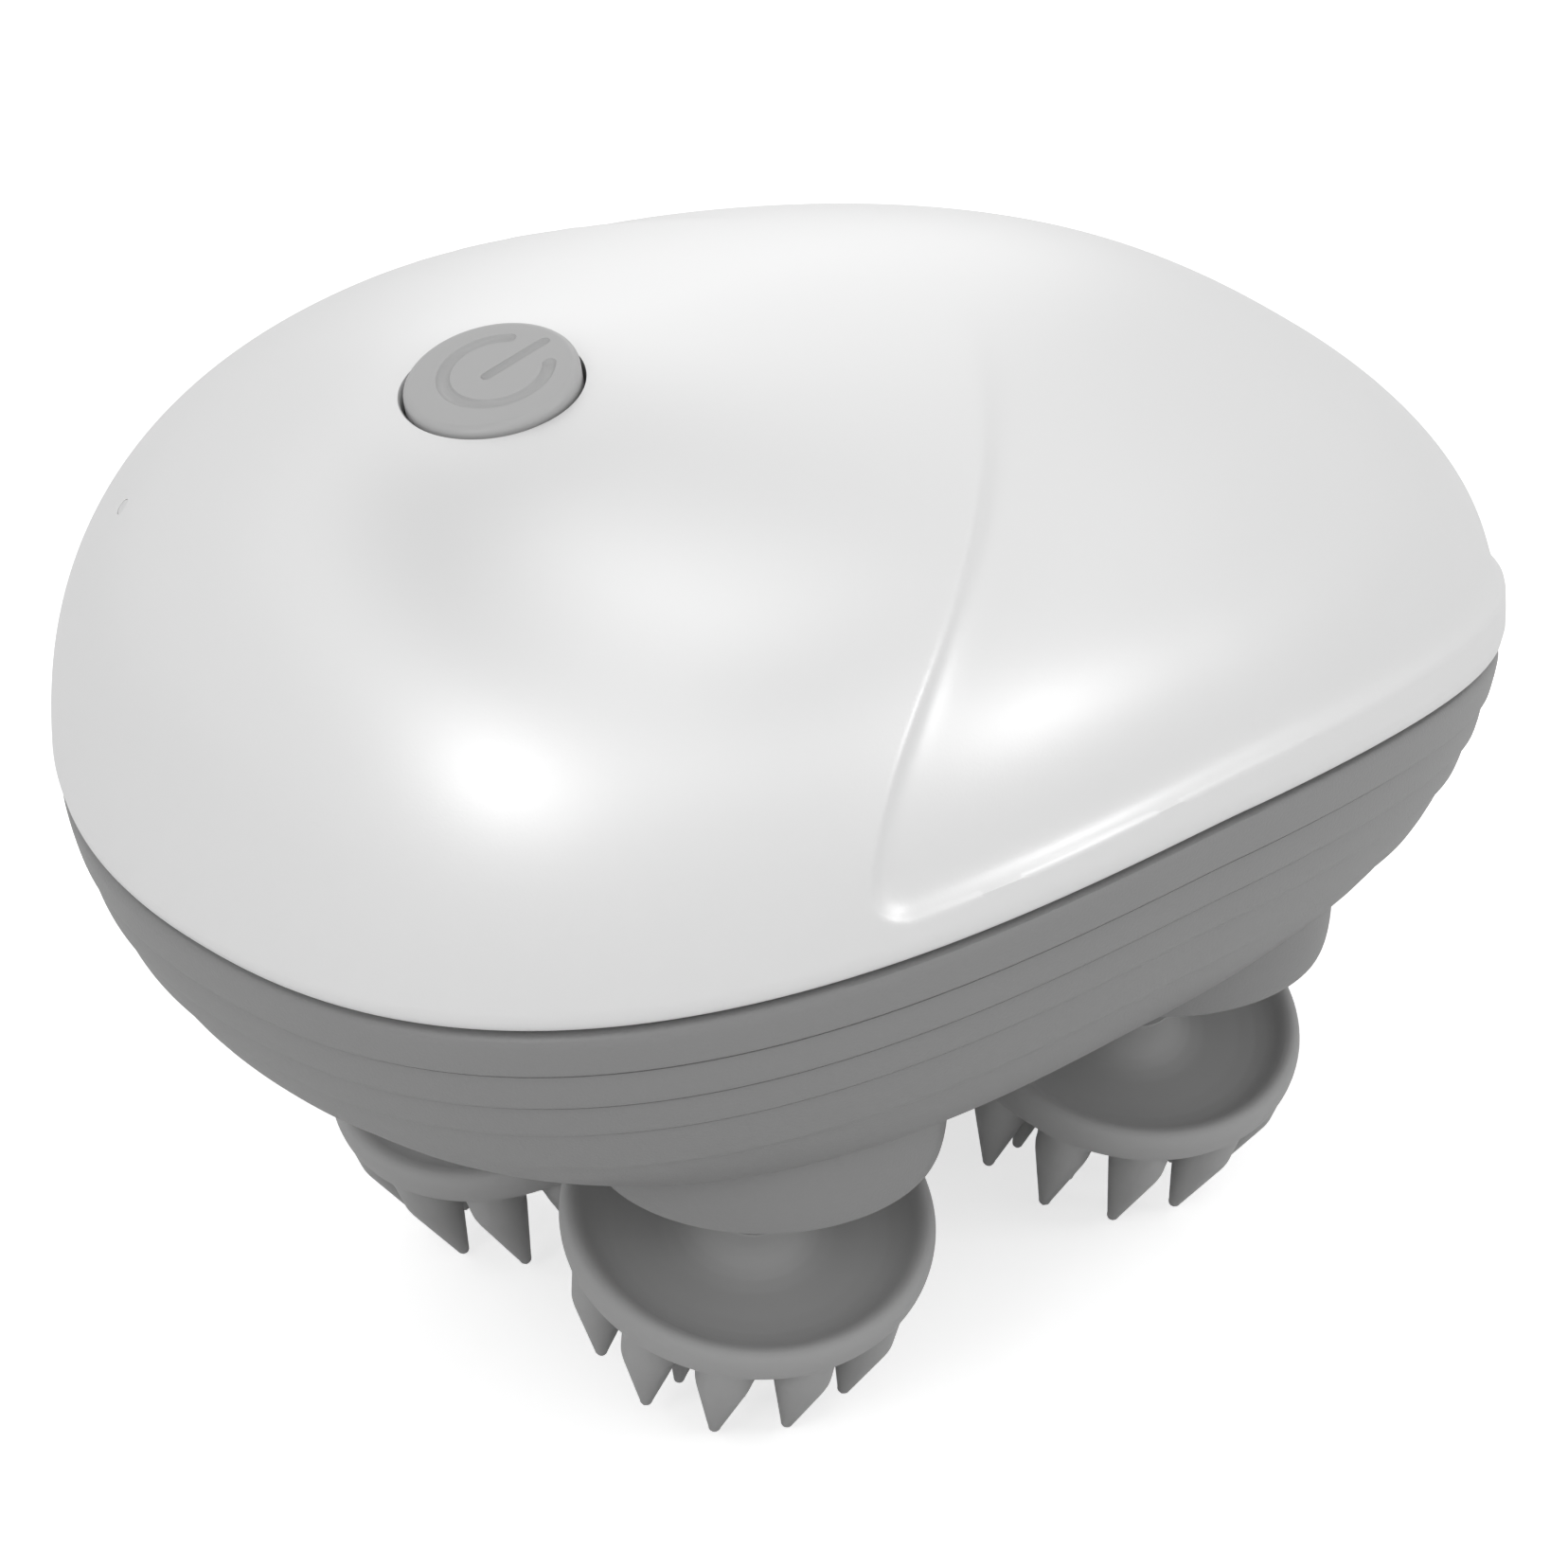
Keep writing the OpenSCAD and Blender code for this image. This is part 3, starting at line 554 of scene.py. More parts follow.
@dataclass(frozen=True)
class ShellForm:
    """The egg shape that the cover, base and seal share, in millimetres and degrees."""

    length: float = 118.0
    width: float = 79.2
    cover_height: float = 29.8
    base_depth: float = 22.6
    wall: float = 2.2
    taper: float = 0.18
    joint_bow: float = 10.0
    joint_rake: float = 6.6
    joint_z: float = 51.1917
    plan_power: float = 2.22
    crown_power: float = 1.95
    front_round: float = 2.13
    back_round: float = 1.9
    side_round: float = 1.6
    crown_round: float = 2.59
    crown_x: float = -22.0
    widest: float = 1.4
    bulge: float = 1.006
    flank: tuple[float, float, float] = (0.216, 0.213, 0.216)
    flank_power: float = 1.64
    tuck: tuple[float, float, float] = (0.093, 0.051, 0.16)
    tuck_power: float = 6.0

    def drop(self, x: np.ndarray) -> np.ndarray:
        """Height of the joint line over its middle at a place along X."""
        along = 2.0 * x / self.length
        return -self.joint_bow * along * along - self.joint_rake * along

    def plan(self, turn: np.ndarray, power: np.ndarray | float,
             inset: np.ndarray | float) -> tuple[np.ndarray, np.ndarray]:
        """Finds points of the plan outline.

        Args:
            turn: Angle round the outline.
            power: Squareness of the outline.
            inset: Distance inwards.

        Returns:
            X and Y of the points.
        """
        c, s = np.cos(np.radians(turn)), np.sin(np.radians(turn))
        x = (self.length / 2 - inset) * signed_power(c, 2 / power)
        y = (self.width / 2 - inset) * signed_power(s, 2 / power) * (1 - self.taper * c)
        return x, y

    def cover(self, turn: np.ndarray, level: np.ndarray,
              inset: np.ndarray | float = 0.0) -> np.ndarray:
        """Finds points of the cover.

        Args:
            turn: Angle round the plan.
            level: 0 at the widest line and 90 at the crown.
            inset: Distance inwards.

        Returns:
            Points, with X, Y and Z along the last axis.
        """
        c = np.cos(np.radians(turn))
        ca, sa = np.maximum(np.cos(np.radians(level)), 0.0), np.sin(np.radians(level))
        power = self.plan_power + (self.crown_power - self.plan_power) * level / 90
        ends = (self.front_round + self.back_round) / 2
        ends = ends - (self.front_round - self.back_round) / 2 * c
        kx, ky = ca ** (2 / ends), ca ** (2 / self.side_round)
        x, y = self.plan(turn, power, inset)
        x, y = x * self.bulge, y * self.bulge
        rise = self.cover_height - inset - self.widest
        rise = self.widest + rise * sa ** (2 / self.crown_round)
        return np.stack([self.crown_x * (1 - kx) + kx * x, ky * y,
                         self.joint_z + rise + ca * self.drop(kx * x)], axis=-1)

    def base(self, turn: np.ndarray, depth: float, share: float,
             inset: float = 0.0) -> np.ndarray:
        """Finds a ring of points of the base.

        Args:
            turn: Angle round the plan.
            depth: Depth under the joint line.
            share: Share of the flank's radius.
            inset: Distance inwards.

        Returns:
            Points, with X, Y and Z along the last axis.
        """
        x, y = self.plan(turn, self.plan_power, inset)
        d = depth / self.base_depth
        kx, ky, kz = (1 - f * d ** self.flank_power - t * d ** self.tuck_power
                      for f, t in zip(self.flank, self.tuck))
        z = self.joint_z - depth + self.drop(x) * kz
        return np.stack([x * share * kx, y * share * ky, z], axis=-1)

    def rim(self, turn: np.ndarray, inset: float, rise: float) -> np.ndarray:
        """Finds a ring of points at the joint line, moved inwards and upwards."""
        x, y = self.plan(turn, self.plan_power, inset)
        return np.stack([x, y, self.joint_z + self.drop(x) + rise], axis=-1)


@dataclass
class Skin:
    """A closed cup-shaped skin laid over a sphere primitive, ring by ring.

    Attributes:
        name: Name of the piece.
        turns: Plan angle of each segment.
        rings: Points of each ring, from the sphere's top to its bottom.
        top: Point at the sphere's top.
        bottom: Point at the sphere's bottom.
    """

    name: str
    turns: np.ndarray
    rings: list[np.ndarray]
    top: np.ndarray
    bottom: np.ndarray

    def build(self) -> bpy.types.Object:
        """Adds the sphere and moves each of its rings into place.

        Returns:
            The skin, in metres.
        """
        segments, bands = len(self.turns), len(self.rings) + 1
        Bench.clear()
        bpy.ops.mesh.primitive_uv_sphere_add(segments=segments, ring_count=bands, radius=1.0)
        made = Bench.named(self.name)
        at = Bench.points(made)
        down = np.degrees(np.arccos(np.clip(at[:, 2], -1, 1)))
        round_z = np.degrees(np.arctan2(at[:, 1], at[:, 0]))
        ring = np.rint(down / 180 * bands).astype(int)
        turn = np.rint(round_z / 360 * segments).astype(int) % segments
        placed = np.empty_like(at)
        body = (ring > 0) & (ring < bands)
        placed[body] = np.stack(self.rings)[ring[body] - 1, turn[body]]
        placed[ring == 0] = self.top
        placed[ring == bands] = self.bottom
        Bench.put_points(made, placed)
        return made


# ---- Cover ----


@dataclass
class GripPanel:
    """The stepped panel round the narrow end of the cover. Sizes are in millimetres."""

    depth: float = 0.95
    low_edge: float = 3.0
    low_edge_rise: float = 1.8
    edge_foot_x: float = -34.2
    edge_curve: float = 0.00184
    corner: float = 3.6
    fall: float = 0.75
    shoulder: float = 0.28
    fade_from: float = 20.5
    fade_to: float = 27.5

    def inset(self, grid: np.ndarray, form: ShellForm) -> np.ndarray:
        """Works out how far each point of the cover's grid sinks into the panel.

        Args:
            grid: Points of the cover, ring by ring.
            form: The shell's form.

        Returns:
            Depth of each point.
        """
        x = grid[..., 0]
        height = grid[..., 2] - form.joint_z - form.drop(x)
        along = np.clip((x - self.edge_foot_x) / (form.length / 2 - self.edge_foot_x), 0, 1)
        up = self.distance(grid, height - self.low_edge - self.low_edge_rise * along)
        lean = self.edge_curve * np.maximum(height, 0) ** 3
        back = self.distance(grid, x - self.edge_foot_x - lean)
        r = self.corner
        corner = r - np.hypot(np.maximum(r - up, 0), np.maximum(r - back, 0))
        inside = np.where((up < r) & (back < r), corner, np.minimum(up, back))
        eased = self.shoulder * np.logaddexp(0.0, inside / self.shoulder)
        eased -= self.shoulder * math.log(2.0) * np.exp(-np.maximum(inside, 0) / self.fall)
        fade = 1.0 - smooth_step((height - self.fade_from) / (self.fade_to - self.fade_from))
        sunk = 1.0 - np.exp(-np.maximum(eased, 0) / self.fall)
        return self.depth * fade * np.clip(sunk, 0, 1)

    @staticmethod
    def distance(grid: np.ndarray, value: np.ndarray) -> np.ndarray:
        """Turns a function on the surface into a distance along the surface from its zero line.

        Args:
            grid: Points of the surface, ring by ring.
            value: The function at each point.

        Returns:
            Signed distance of each point, true close to the line.
        """
        def slopes(a: np.ndarray) -> tuple[np.ndarray, np.ndarray]:
            """Slope of a along the rings and across them."""
            return (np.roll(a, -1, axis=1) - np.roll(a, 1, axis=1)) / 2, np.gradient(a, axis=0)

        least_area, least_slope, slope_range = 1e-9, 0.05, (0.3, 6.0)
        gu, gv = slopes(grid)
        fu, fv = slopes(value)
        e, f, g = (gu * gu).sum(-1), (gu * gv).sum(-1), (gv * gv).sum(-1)
        area = np.maximum(e * g - f * f, least_area)
        slope = (g * fu * fu - 2 * f * fu * fv + e * fv * fv) / area
        steep = np.sqrt(np.maximum(slope, least_slope))
        return value / np.clip(steep, *slope_range)


@dataclass
class ButtonSeat:
    """Where the button sits in the cover, and the shape of its hole, in millimetres."""

    place: tuple[float, float, float] = (-32.4993, 0.0, 80.5176)
    tilt: float = 10.9096
    radius: float = 6.0
    gap: float = 0.27
    ease_radius: float = 9.5
    ease_share: float = 0.82
    ease_under: float = 0.05
    ease_reach: float = 14.0
    hole_depth: float = 4.0
    chamfer: tuple[float, float] = (0.18, 0.22)
    tool_top: float = 3.0
    sides: int = 160

    def frame(self) -> Matrix:
        """Frame of the button, Z outwards and X up the slope."""
        s, c = sin_cos(self.tilt)
        return to_matrix([v * MM for v in self.place], Vector((c, 0, s)), Vector((-s, 0, c)))

    def flatten(self, grid: np.ndarray) -> np.ndarray:
        """Eases the cover round the button towards the button's own plane.

        Args:
            grid: Points of the cover.

        Returns:
            The points after the change.
        """
        s, c = sin_cos(self.tilt)
        normal = np.array([-s, 0.0, c])
        off = grid - np.array(self.place)
        height = off @ normal
        flat = off - height[..., None] * normal
        radius = np.linalg.norm(flat, axis=-1)
        weight = self.ease_share * np.exp(-(radius / self.ease_radius) ** 2)
        weight = np.where(grid[..., 2] > self.place[2] - self.ease_reach, weight, 0.0)
        return grid - (weight * (height + self.ease_under))[..., None] * normal

    def hole(self) -> bpy.types.Object:
        """Makes the cutter for the button's hole, with a small chamfer at its mouth.

        Returns:
            The cutter.
        """
        r, (out, down) = self.radius + self.gap, self.chamfer
        outline = [(0, -self.hole_depth), (r, -self.hole_depth), (r, -down), (r + out, 0.0),
                   (r + out, self.tool_top), (0, self.tool_top)]
        tool = Bench.turned("hole_tool", outline, self.sides)
        tool.data.transform(self.frame())
        return tool


@dataclass
class Cover:
    """The pearl cover: an egg-shaped shell with a grip panel and holes, in millimetres."""

    form: ShellForm
    seat: ButtonSeat
    panel: GripPanel = field(default_factory=GripPanel)
    segments: int = 448
    levels: int = 150
    top_level: float = 89.2
    crowding: tuple[float, float] = (0.4, 0.3)
    edge_round: float = 0.35
    edge_shares: tuple[float, ...] = (0.35, 0.7)
    edge_angles: tuple[float, ...] = (15, 35, 55, 75, 90)
    inner_levels: tuple[float, ...] = (0, 12, 24, 36, 48, 60, 70, 79, 87)
    crease: float = 40.0
    window_turn: float = 147.0
    window_level: float = 29.0
    window_radius: float = 0.62
    window_depth: float = 0.25
    window_sides: int = 40

    def turns(self) -> np.ndarray:
        """Spaces the segments, closest where the panel's edge climbs the side.

        Returns:
            Plan angle of each segment, in degrees.
        """
        even = np.arange(self.segments) * 360.0 / self.segments
        a = np.radians(even)
        once, twice = self.crowding
        return even + np.degrees(once * np.sin(a) + twice * np.sin(2 * a))

    def build(self) -> bpy.types.Object:
        """Models the cover.

        Returns:
            The finished piece.
        """
        form, turns = self.form, self.turns()
        step = np.sin(np.radians(90.0 * (1 - (np.arange(1, self.levels + 1)) / self.levels)))
        level = np.degrees(np.arcsin(step ** (form.crown_round / 2)))
        tt, ll = np.meshgrid(turns, np.minimum(level, self.top_level))
        sunk = self.panel.inset(form.cover(tt, ll), form)
        grid = self.seat.flatten(form.cover(tt, ll, sunk))
        joint = form.rim(turns, 0.0, 0.0)
        rings = list(grid)
        rings += [grid[-1] * (1 - share) + joint * share for share in self.edge_shares]
        r = self.edge_round
        for s, c in map(sin_cos, self.edge_angles):
            rings.append(form.rim(turns, r * (1 - c), r * (1 - s)))
        rings.append(form.rim(turns, form.wall, 0.0))
        rings += [form.cover(turns, np.full_like(turns, float(a)), form.wall)
                  for a in self.inner_levels]
        crown = np.array([form.crown_x, 0.0, form.joint_z + form.cover_height])
        crown = self.seat.flatten(crown)
        made = Skin("cover_skin", turns, rings, crown, crown - [0, 0, form.wall]).build()
        Bench.cut(made, self.seat.hole())
        Bench.cut(made, self.window_hole())
        Bench.smooth(made, self.crease)
        PEARL.dress(made)
        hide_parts("top_cover")
        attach(made, Body.HOUSING.value)
        return made

    def window_frame(self) -> Matrix:
        """Finds the frame on the cover's surface at the indicator.

        Returns:
            The frame as a matrix, Z outwards.
        """
        turn, level = np.array([self.window_turn]), np.array([self.window_level])
        p = self.form.cover(turn, level)[0]
        u = self.form.cover(turn + 1, level)[0] - p
        v = self.form.cover(turn, level + 1)[0] - p
        return to_matrix([c * MM for c in p], Vector(u), Vector(np.cross(u, v)))

    def window_hole(self) -> bpy.types.Object:
        """Makes the cutter for the shallow ring round the indicator.

        Returns:
            The cutter.
        """
        tool = Bench.cylinder("window_tool", self.window_radius, low=-self.window_depth,
                              high=2.0, sides=self.window_sides)
        tool.data.transform(self.window_frame())
        return tool


# ---- Heads' places, base, seal and necks ----


@dataclass(frozen=True)
class HeadPlaces:
    """Where the four heads stand and lean. Millimetres and degrees."""

    mid_x: float = -2.6
    dx: float = 20.0
    dy: float = 15.5
    lean: float = 19.7
    pivot_z: float = 24.0917
    lean_to: tuple[float, float, float, float] = (66.0, 81.0, 2.0, 14.0)

    @property
    def places(self) -> dict[Head, Point]:
        """Sets out the heads.

        Returns:
            X and Y of each head.
        """
        x, dx, dy = self.mid_x, self.dx, self.dy
        return {Head.FRONT_LEFT: (x - dx, -dy), Head.FRONT_RIGHT: (x + dx, -dy),
                Head.BACK_LEFT: (x - dx, dy), Head.BACK_RIGHT: (x + dx, dy)}

    def frame(self, head: Head) -> Matrix:
        """Frame of a leaning head, with its origin at the pivot and Z up its axis.

        Args:
            head: Which head.

        Returns:
            The frame as a matrix.
        """
        x, y = self.places[head]
        turn = math.radians(self.lean_to[list(Head).index(head)])
        return (Matrix.Translation((x * MM, y * MM, self.pivot_z * MM))
                @ Matrix.Rotation(turn, 4, "Z")
                @ Matrix.Rotation(-math.radians(self.lean), 4, "Y"))


@dataclass
class Base:
    """The grey base: overlapping bands, a rounded lip and an underside, in millimetres.

    A pair in top_edge, step_edge or step_notch is a depth and an inset. The depths of step_edge
    are shares of step_round over the step's depth, and those of step_notch lie under it.
    """

    form: ShellForm
    heads: HeadPlaces
    segments: int = 384
    joint_gap: float = 0.5
    top_edge: tuple[Point, ...] = ((0.0, 0.9), (0.06, 0.42), (0.2, 0.2), (0.45, 0.07), (0.8, 0.0))
    step_depths: tuple[float, ...] = (3.9, 7.1, 10.2, 14.9)
    step_in: float = 0.36
    step_round: float = 0.2
    step_shares: tuple[float, ...] = (0.12, 0.28, 0.45, 0.7, 0.9, 1.0)
    step_edge: tuple[Point, ...] = ((0.45, 0.04), (0.12, 0.13), (0.0, 0.24))
    step_notch: tuple[Point, ...] = ((0.05, 0.62), (0.16, 0.62))
    step_end: float = 0.32
    step_ease: float = 1.4
    lip_from: float = 20.9
    lip_share: float = 0.975
    lip_shares: tuple[float, ...] = (0.12, 0.28, 0.5, 0.7, 0.85, 0.95)
    under_shares: tuple[float, ...] = (0.93, 0.84, 0.7, 0.5, 0.25, 0.08)
    inner_depths: tuple[float, ...] = (18.0, 15.0, 10.0, 5.0)
    floor_shares: tuple[float, ...] = (0.3, 0.7, 1.0)
    floor_share: float = 0.96
    crease: float = 32.0
    neck_radius: float = 12.92
    neck_top: float = 31.4
    screw_places: tuple[Point, ...] = ((-2.6, -27.0), (-2.6, 27.0), (-41.5, 0.0), (38.0, 0.0))
    screw_radius: float = 2.3
    screw_depth: float = 3.0
    tool_bottom: float = -5.0
    socket_place: Point = (50.0, 29.7917)
    socket_tool: tuple[Point, ...] = (
        (0, 0), (2.62, 0), (2.62, 5.6), (3.4, 7.0), (3.4, 12.0), (0, 12.0))

    def slope(self, start: float, end: float, start_in: float,
              shares: Iterable[float]) -> list[tuple[float, float, float]]:
        """Lists the rings of a band that swells from its start to its end.

        Args:
            start: Depth at its start.
            end: Depth at its end.
            start_in: Inset at its start.
            shares: Where its rings lie, as shares of its height.

        Returns:
            Depth, share of the flank and inset of each ring.
        """
        return [(start + (end - start) * u, 1.0, start_in * (1 - u) ** self.step_ease)
                for u in shares]

    def bands(self) -> list[tuple[float, float, float]]:
        """Lists the wall's rings from the top edge to the lip.

        Returns:
            Depth, share of the flank and inset of each ring.
        """
        made = [(self.joint_gap + down, 1.0, inset) for down, inset in self.top_edge]
        last, start_in = made[-1][0], 0.0
        for depth in self.step_depths:
            made += self.slope(last, depth - self.step_round, start_in, self.step_shares)
            made += [(depth - self.step_round * up, 1.0, inset) for up, inset in self.step_edge]
            made += [(depth + down, 1.0, inset) for down, inset in self.step_notch]
            last, start_in = depth + self.step_end, self.step_in
            made.append((last, 1.0, start_in))
        made += self.slope(last, self.lip_from, start_in, self.lip_shares)
        height = self.form.base_depth - self.lip_from
        for s, c in map(sin_cos, range(0, 91, 10)):
            share = self.lip_share + (1 - self.lip_share) * c ** 0.5
            made.append((self.lip_from + height * s, share, 0.0))
        return made

    def build(self) -> bpy.types.Object:
        """Models the base.

        Returns:
            The finished piece.
        """
        form = self.form
        turns = np.arange(self.segments) * 360.0 / self.segments
        bottom = form.joint_z - form.base_depth
        wall = [form.base(turns, d, s, i) for d, s, i in self.bands()]
        centre = np.array([0.0, 0.0, bottom])
        under = [centre + (wall[-1] - centre) * u for u in self.under_shares]
        inner = [form.base(turns, d, 1.0, form.wall) for d in self.inner_depths]
        floor = centre + [0, 0, form.wall]
        deep = form.base(turns, form.base_depth - form.wall, self.floor_share, form.wall)
        floors = [floor + (deep - floor) * u for u in self.floor_shares]
        rims = [form.base(turns, self.joint_gap, 1.0, form.wall)]
        rings = floors + inner + rims + wall + under
        made = Skin("base_skin", turns, rings, floor, centre).build()
        low = self.tool_bottom
        for place in self.heads.places.values():
            Bench.cut(made, Bench.cylinder("neck_tool", self.neck_radius, low, self.neck_top,
                                           place, sides=128))
        for place in self.screw_places:
            Bench.cut(made, Bench.cylinder("screw_tool", self.screw_radius, low,
                                           bottom + self.screw_depth, place, sides=48))
        Bench.cut(made, self.socket_hole())
        Bench.smooth(made, self.crease)
        GREY.dress(made)
        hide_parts("base_shell")
        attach(made, Body.HOUSING.value)
        return made

    def socket_hole(self) -> bpy.types.Object:
        """Makes the cutter for the charging socket's hole in the narrow end.

        Returns:
            The cutter.
        """
        tool = Bench.turned("socket_tool", self.socket_tool, sides=64)
        x, z = self.socket_place
        tool.data.transform(to_matrix([x * MM, 0, z * MM], Vector((0, 1, 0)), Vector((1, 0, 0))))
        return tool


@dataclass
class Seal:
    """The dark ring that fills the joint between the cover and the base, in millimetres."""

    form: ShellForm
    outer_inset: float = 0.85
    inner_inset: float = 1.9
    gap: float = 0.5
    clearance: float = 0.02
    squareness: float = 0.5
    segments: int = 256
    sides: int = 8
    crease: float = 60.0

    def build(self) -> bpy.types.Object:
        """Models the ring by turning a circle and laying its rings along the joint.

        Returns:
            The finished piece.
        """
        Bench.clear()
        thin = 0.1
        bpy.ops.mesh.primitive_torus_add(major_segments=self.segments, minor_segments=self.sides,
                                         major_radius=1.0, minor_radius=thin)
        made = Bench.named("joint_seal")
        at = Bench.points(made)
        turn = np.degrees(np.arctan2(at[:, 1], at[:, 0]))
        across = signed_power((np.hypot(at[:, 0], at[:, 1]) - 1.0) / thin, self.squareness)
        up = signed_power(at[:, 2] / thin, self.squareness)
        inset = (self.outer_inset + self.inner_inset) / 2
        inset = inset - across * (self.inner_inset - self.outer_inset) / 2
        rise = -self.gap / 2 + up * (self.gap / 2 - self.clearance)
        Bench.put_points(made, self.form.rim(turn, inset, rise))
        Bench.smooth(made, self.crease)
        RUBBER.dress(made)
        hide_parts("seal_ring")
        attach(made, Body.HOUSING.value)
        return made


@dataclass
class Necks:
    """The hollow necks under the base that the heads turn below. Sizes are in millimetres."""

    heads: HeadPlaces
    lip_radius: float = 12.2
    lip_points: tuple[Point, ...] = (
        (0.62, 0.12), (0.5, 0.02), (0.3, 0.0), (0.08, 0.06), (0.0, 0.2))
    radius: float = 12.9
    curve_height: float = 3.6
    wall: float = 1.3
    roof: float = 4.8
    roof_thick: float = 3.0
    roof_curve: Point = (8.6, 1.2)
    tube_radius: float = 5.0
    tube_bore: float = 2.8
    tube_drop: float = 2.4
    edge: float = 0.3
    fillet: float = 0.5
    lift: float = -0.4
    crease: float = 35.0

    def outline(self) -> list[Point]:
        """Outline of the neck from the tube round the skirt and back over the roof.

        Returns:
            Radius and height over the skirt's edge.
        """
        tube, drop, edge = self.tube_radius, self.tube_drop, self.edge
        lip, top = self.lip_radius, self.roof + self.roof_thick
        made = [(self.tube_bore, drop), (tube - edge, drop), (tube, drop + edge),
                (tube, self.roof - self.fillet), (tube + self.fillet, self.roof)]
        start_r, start_z = self.roof_curve
        made += on_arc(self.roof_curve, (lip - self.wall - start_r, self.roof - start_z),
                       range(84, -1, -7))
        made += [(lip - inwards, height) for inwards, height in self.lip_points]
        made += [(lip + (self.radius - lip) * s, self.curve_height * (1 - c))
                 for s, c in map(sin_cos, range(22, 91, 8))]
        made += [(self.radius, top - edge), (self.radius - edge, top), (self.tube_bore, top)]
        return made

    def build(self) -> list[bpy.types.Object]:
        """Models one neck and copies it under the four heads.

        Returns:
            The four necks.
        """
        pattern = Bench.turned("neck_pattern", self.outline(), sides=144)
        Bench.smooth(pattern, self.crease)
        GREY.dress(pattern)
        z = self.heads.pivot_z + self.lift
        made = []
        for head, (x, y) in self.heads.places.items():
            at = Matrix.Translation((x * MM, y * MM, z * MM))
            neck = Bench.copy_to(pattern, f"neck_{head.value}", at)
            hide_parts(f"neck_boss_{head.value}")
            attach(neck, Body.HOUSING.value)
            made.append(neck)
        bpy.data.objects.remove(pattern, do_unlink=True)
        return made


# ---- Button and indicator ----


@dataclass
class PowerButton:
    """The round power button with its sunk power sign. Sizes are in millimetres."""

    seat: ButtonSeat
    top: float = 0.68
    edge: float = 0.6
    dome: float = 0.1
    flat_in: float = 1.4
    face_rise: float = 0.055
    face_depth: float = 0.4
    flange: float = 7.6
    flange_top: float = -2.62
    flange_thick: float = 0.8
    stem_radius: float = 2.0
    stem_end: float = -8.0
    crease: float = 50.0
    sign_depth: float = 0.36
    ring_radius: float = 3.6
    stroke: float = 1.08
    bar_share: float = 0.8
    gap_angle: float = 38.0
    ring_points: int = 49
    sign_turn: float = -5.5
    bar_ends: tuple[float, float] = (-0.75, 4.1)
    bar_points: int = 9
    sign_shift: tuple[float, float] = (0.4, -0.12)
    voxel: float = 0.045

    def build(self) -> bpy.types.Object:
        """Models the button, and tips its face towards the cover's crown.

        Returns:
            The finished piece.
        """
        r, e, under = self.seat.radius, self.edge, self.flange_top - self.flange_thick
        outline = [(0, self.stem_end), (self.stem_radius, self.stem_end),
                   (self.stem_radius, under), (self.flange, under),
                   (self.flange, self.flange_top), (r, self.flange_top)]
        outline += on_arc((r - e, self.top - e), (e, e), range(0, 91, 9))
        outline += [(r - e - self.flat_in, self.top + self.dome / 2), (0, self.top + self.dome)]
        made = Bench.turned("button_cap", outline, self.seat.sides)
        Bench.cut(made, self.sign())
        Bench.smooth(made, self.crease)
        for point in made.data.vertices:
            if point.co.z > (self.top - e - self.face_depth) * MM:
                point.co.z += self.face_rise * point.co.x
        made.data.transform(self.seat.frame())
        CAP_GREY.dress(made)
        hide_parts("power_button")
        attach(made, Body.BUTTON.value)
        return made

    def sign(self) -> bpy.types.Object:
        """Cutter for the broken ring and bar, with round ends and sloping sides.

        Returns:
            The cutter, in the button's own frame.
        """
        half = self.stroke / 2
        ring = np.linspace(self.gap_angle, 360.0 - self.gap_angle, self.ring_points)
        arc = on_arc((0.0, 0.0), (self.ring_radius, self.ring_radius), ring)
        bar = [(x, 0.0) for x in np.linspace(*self.bar_ends, self.bar_points)]
        tool = Bench.join("sign_tool", [self.groove("ring_tool", arc, half),
                                        self.groove("bar_tool", bar, half * self.bar_share)])
        x, y = self.sign_shift
        tool.data.transform(Matrix.Translation((x * MM, y * MM, 0))
                            @ Matrix.Rotation(math.radians(self.sign_turn), 4, "Z"))
        return tool

    def groove(self, name: str, path: Sequence[Point], half: float) -> bpy.types.Object:
        """Makes a cutter along a path with a rounded bottom and ends.

        Args:
            name: Name of the cutter.
            path: Points of the path's middle line.
            half: Half the groove's width.

        Returns:
            The cutter.
        """
        curve = bpy.data.curves.new(name, "CURVE")
        curve.dimensions = "3D"
        spline = curve.splines.new("POLY")
        spline.points.add(len(path) - 1)
        level = self.top + self.dome - self.sign_depth + half
        for point, (x, y) in zip(spline.points, path):
            point.co = (x * MM, y * MM, level * MM, 1.0)
        curve.bevel_depth = half * MM
        curve.bevel_resolution = 6
        tube = bpy.data.objects.new(name, curve)
        bpy.context.collection.objects.link(tube)
        Bench.pick(tube)
        bpy.ops.object.convert(target="MESH")
        parts = [Bench.named(name)]
        parts += [Bench.ball(half, (*end, level), segments=28, bands=16)
                  for end in (path[0], path[-1])]
        made = Bench.join(name, parts)
        Bench.modify(made, "REMESH", mode="VOXEL", voxel_size=self.voxel * MM)
        return made


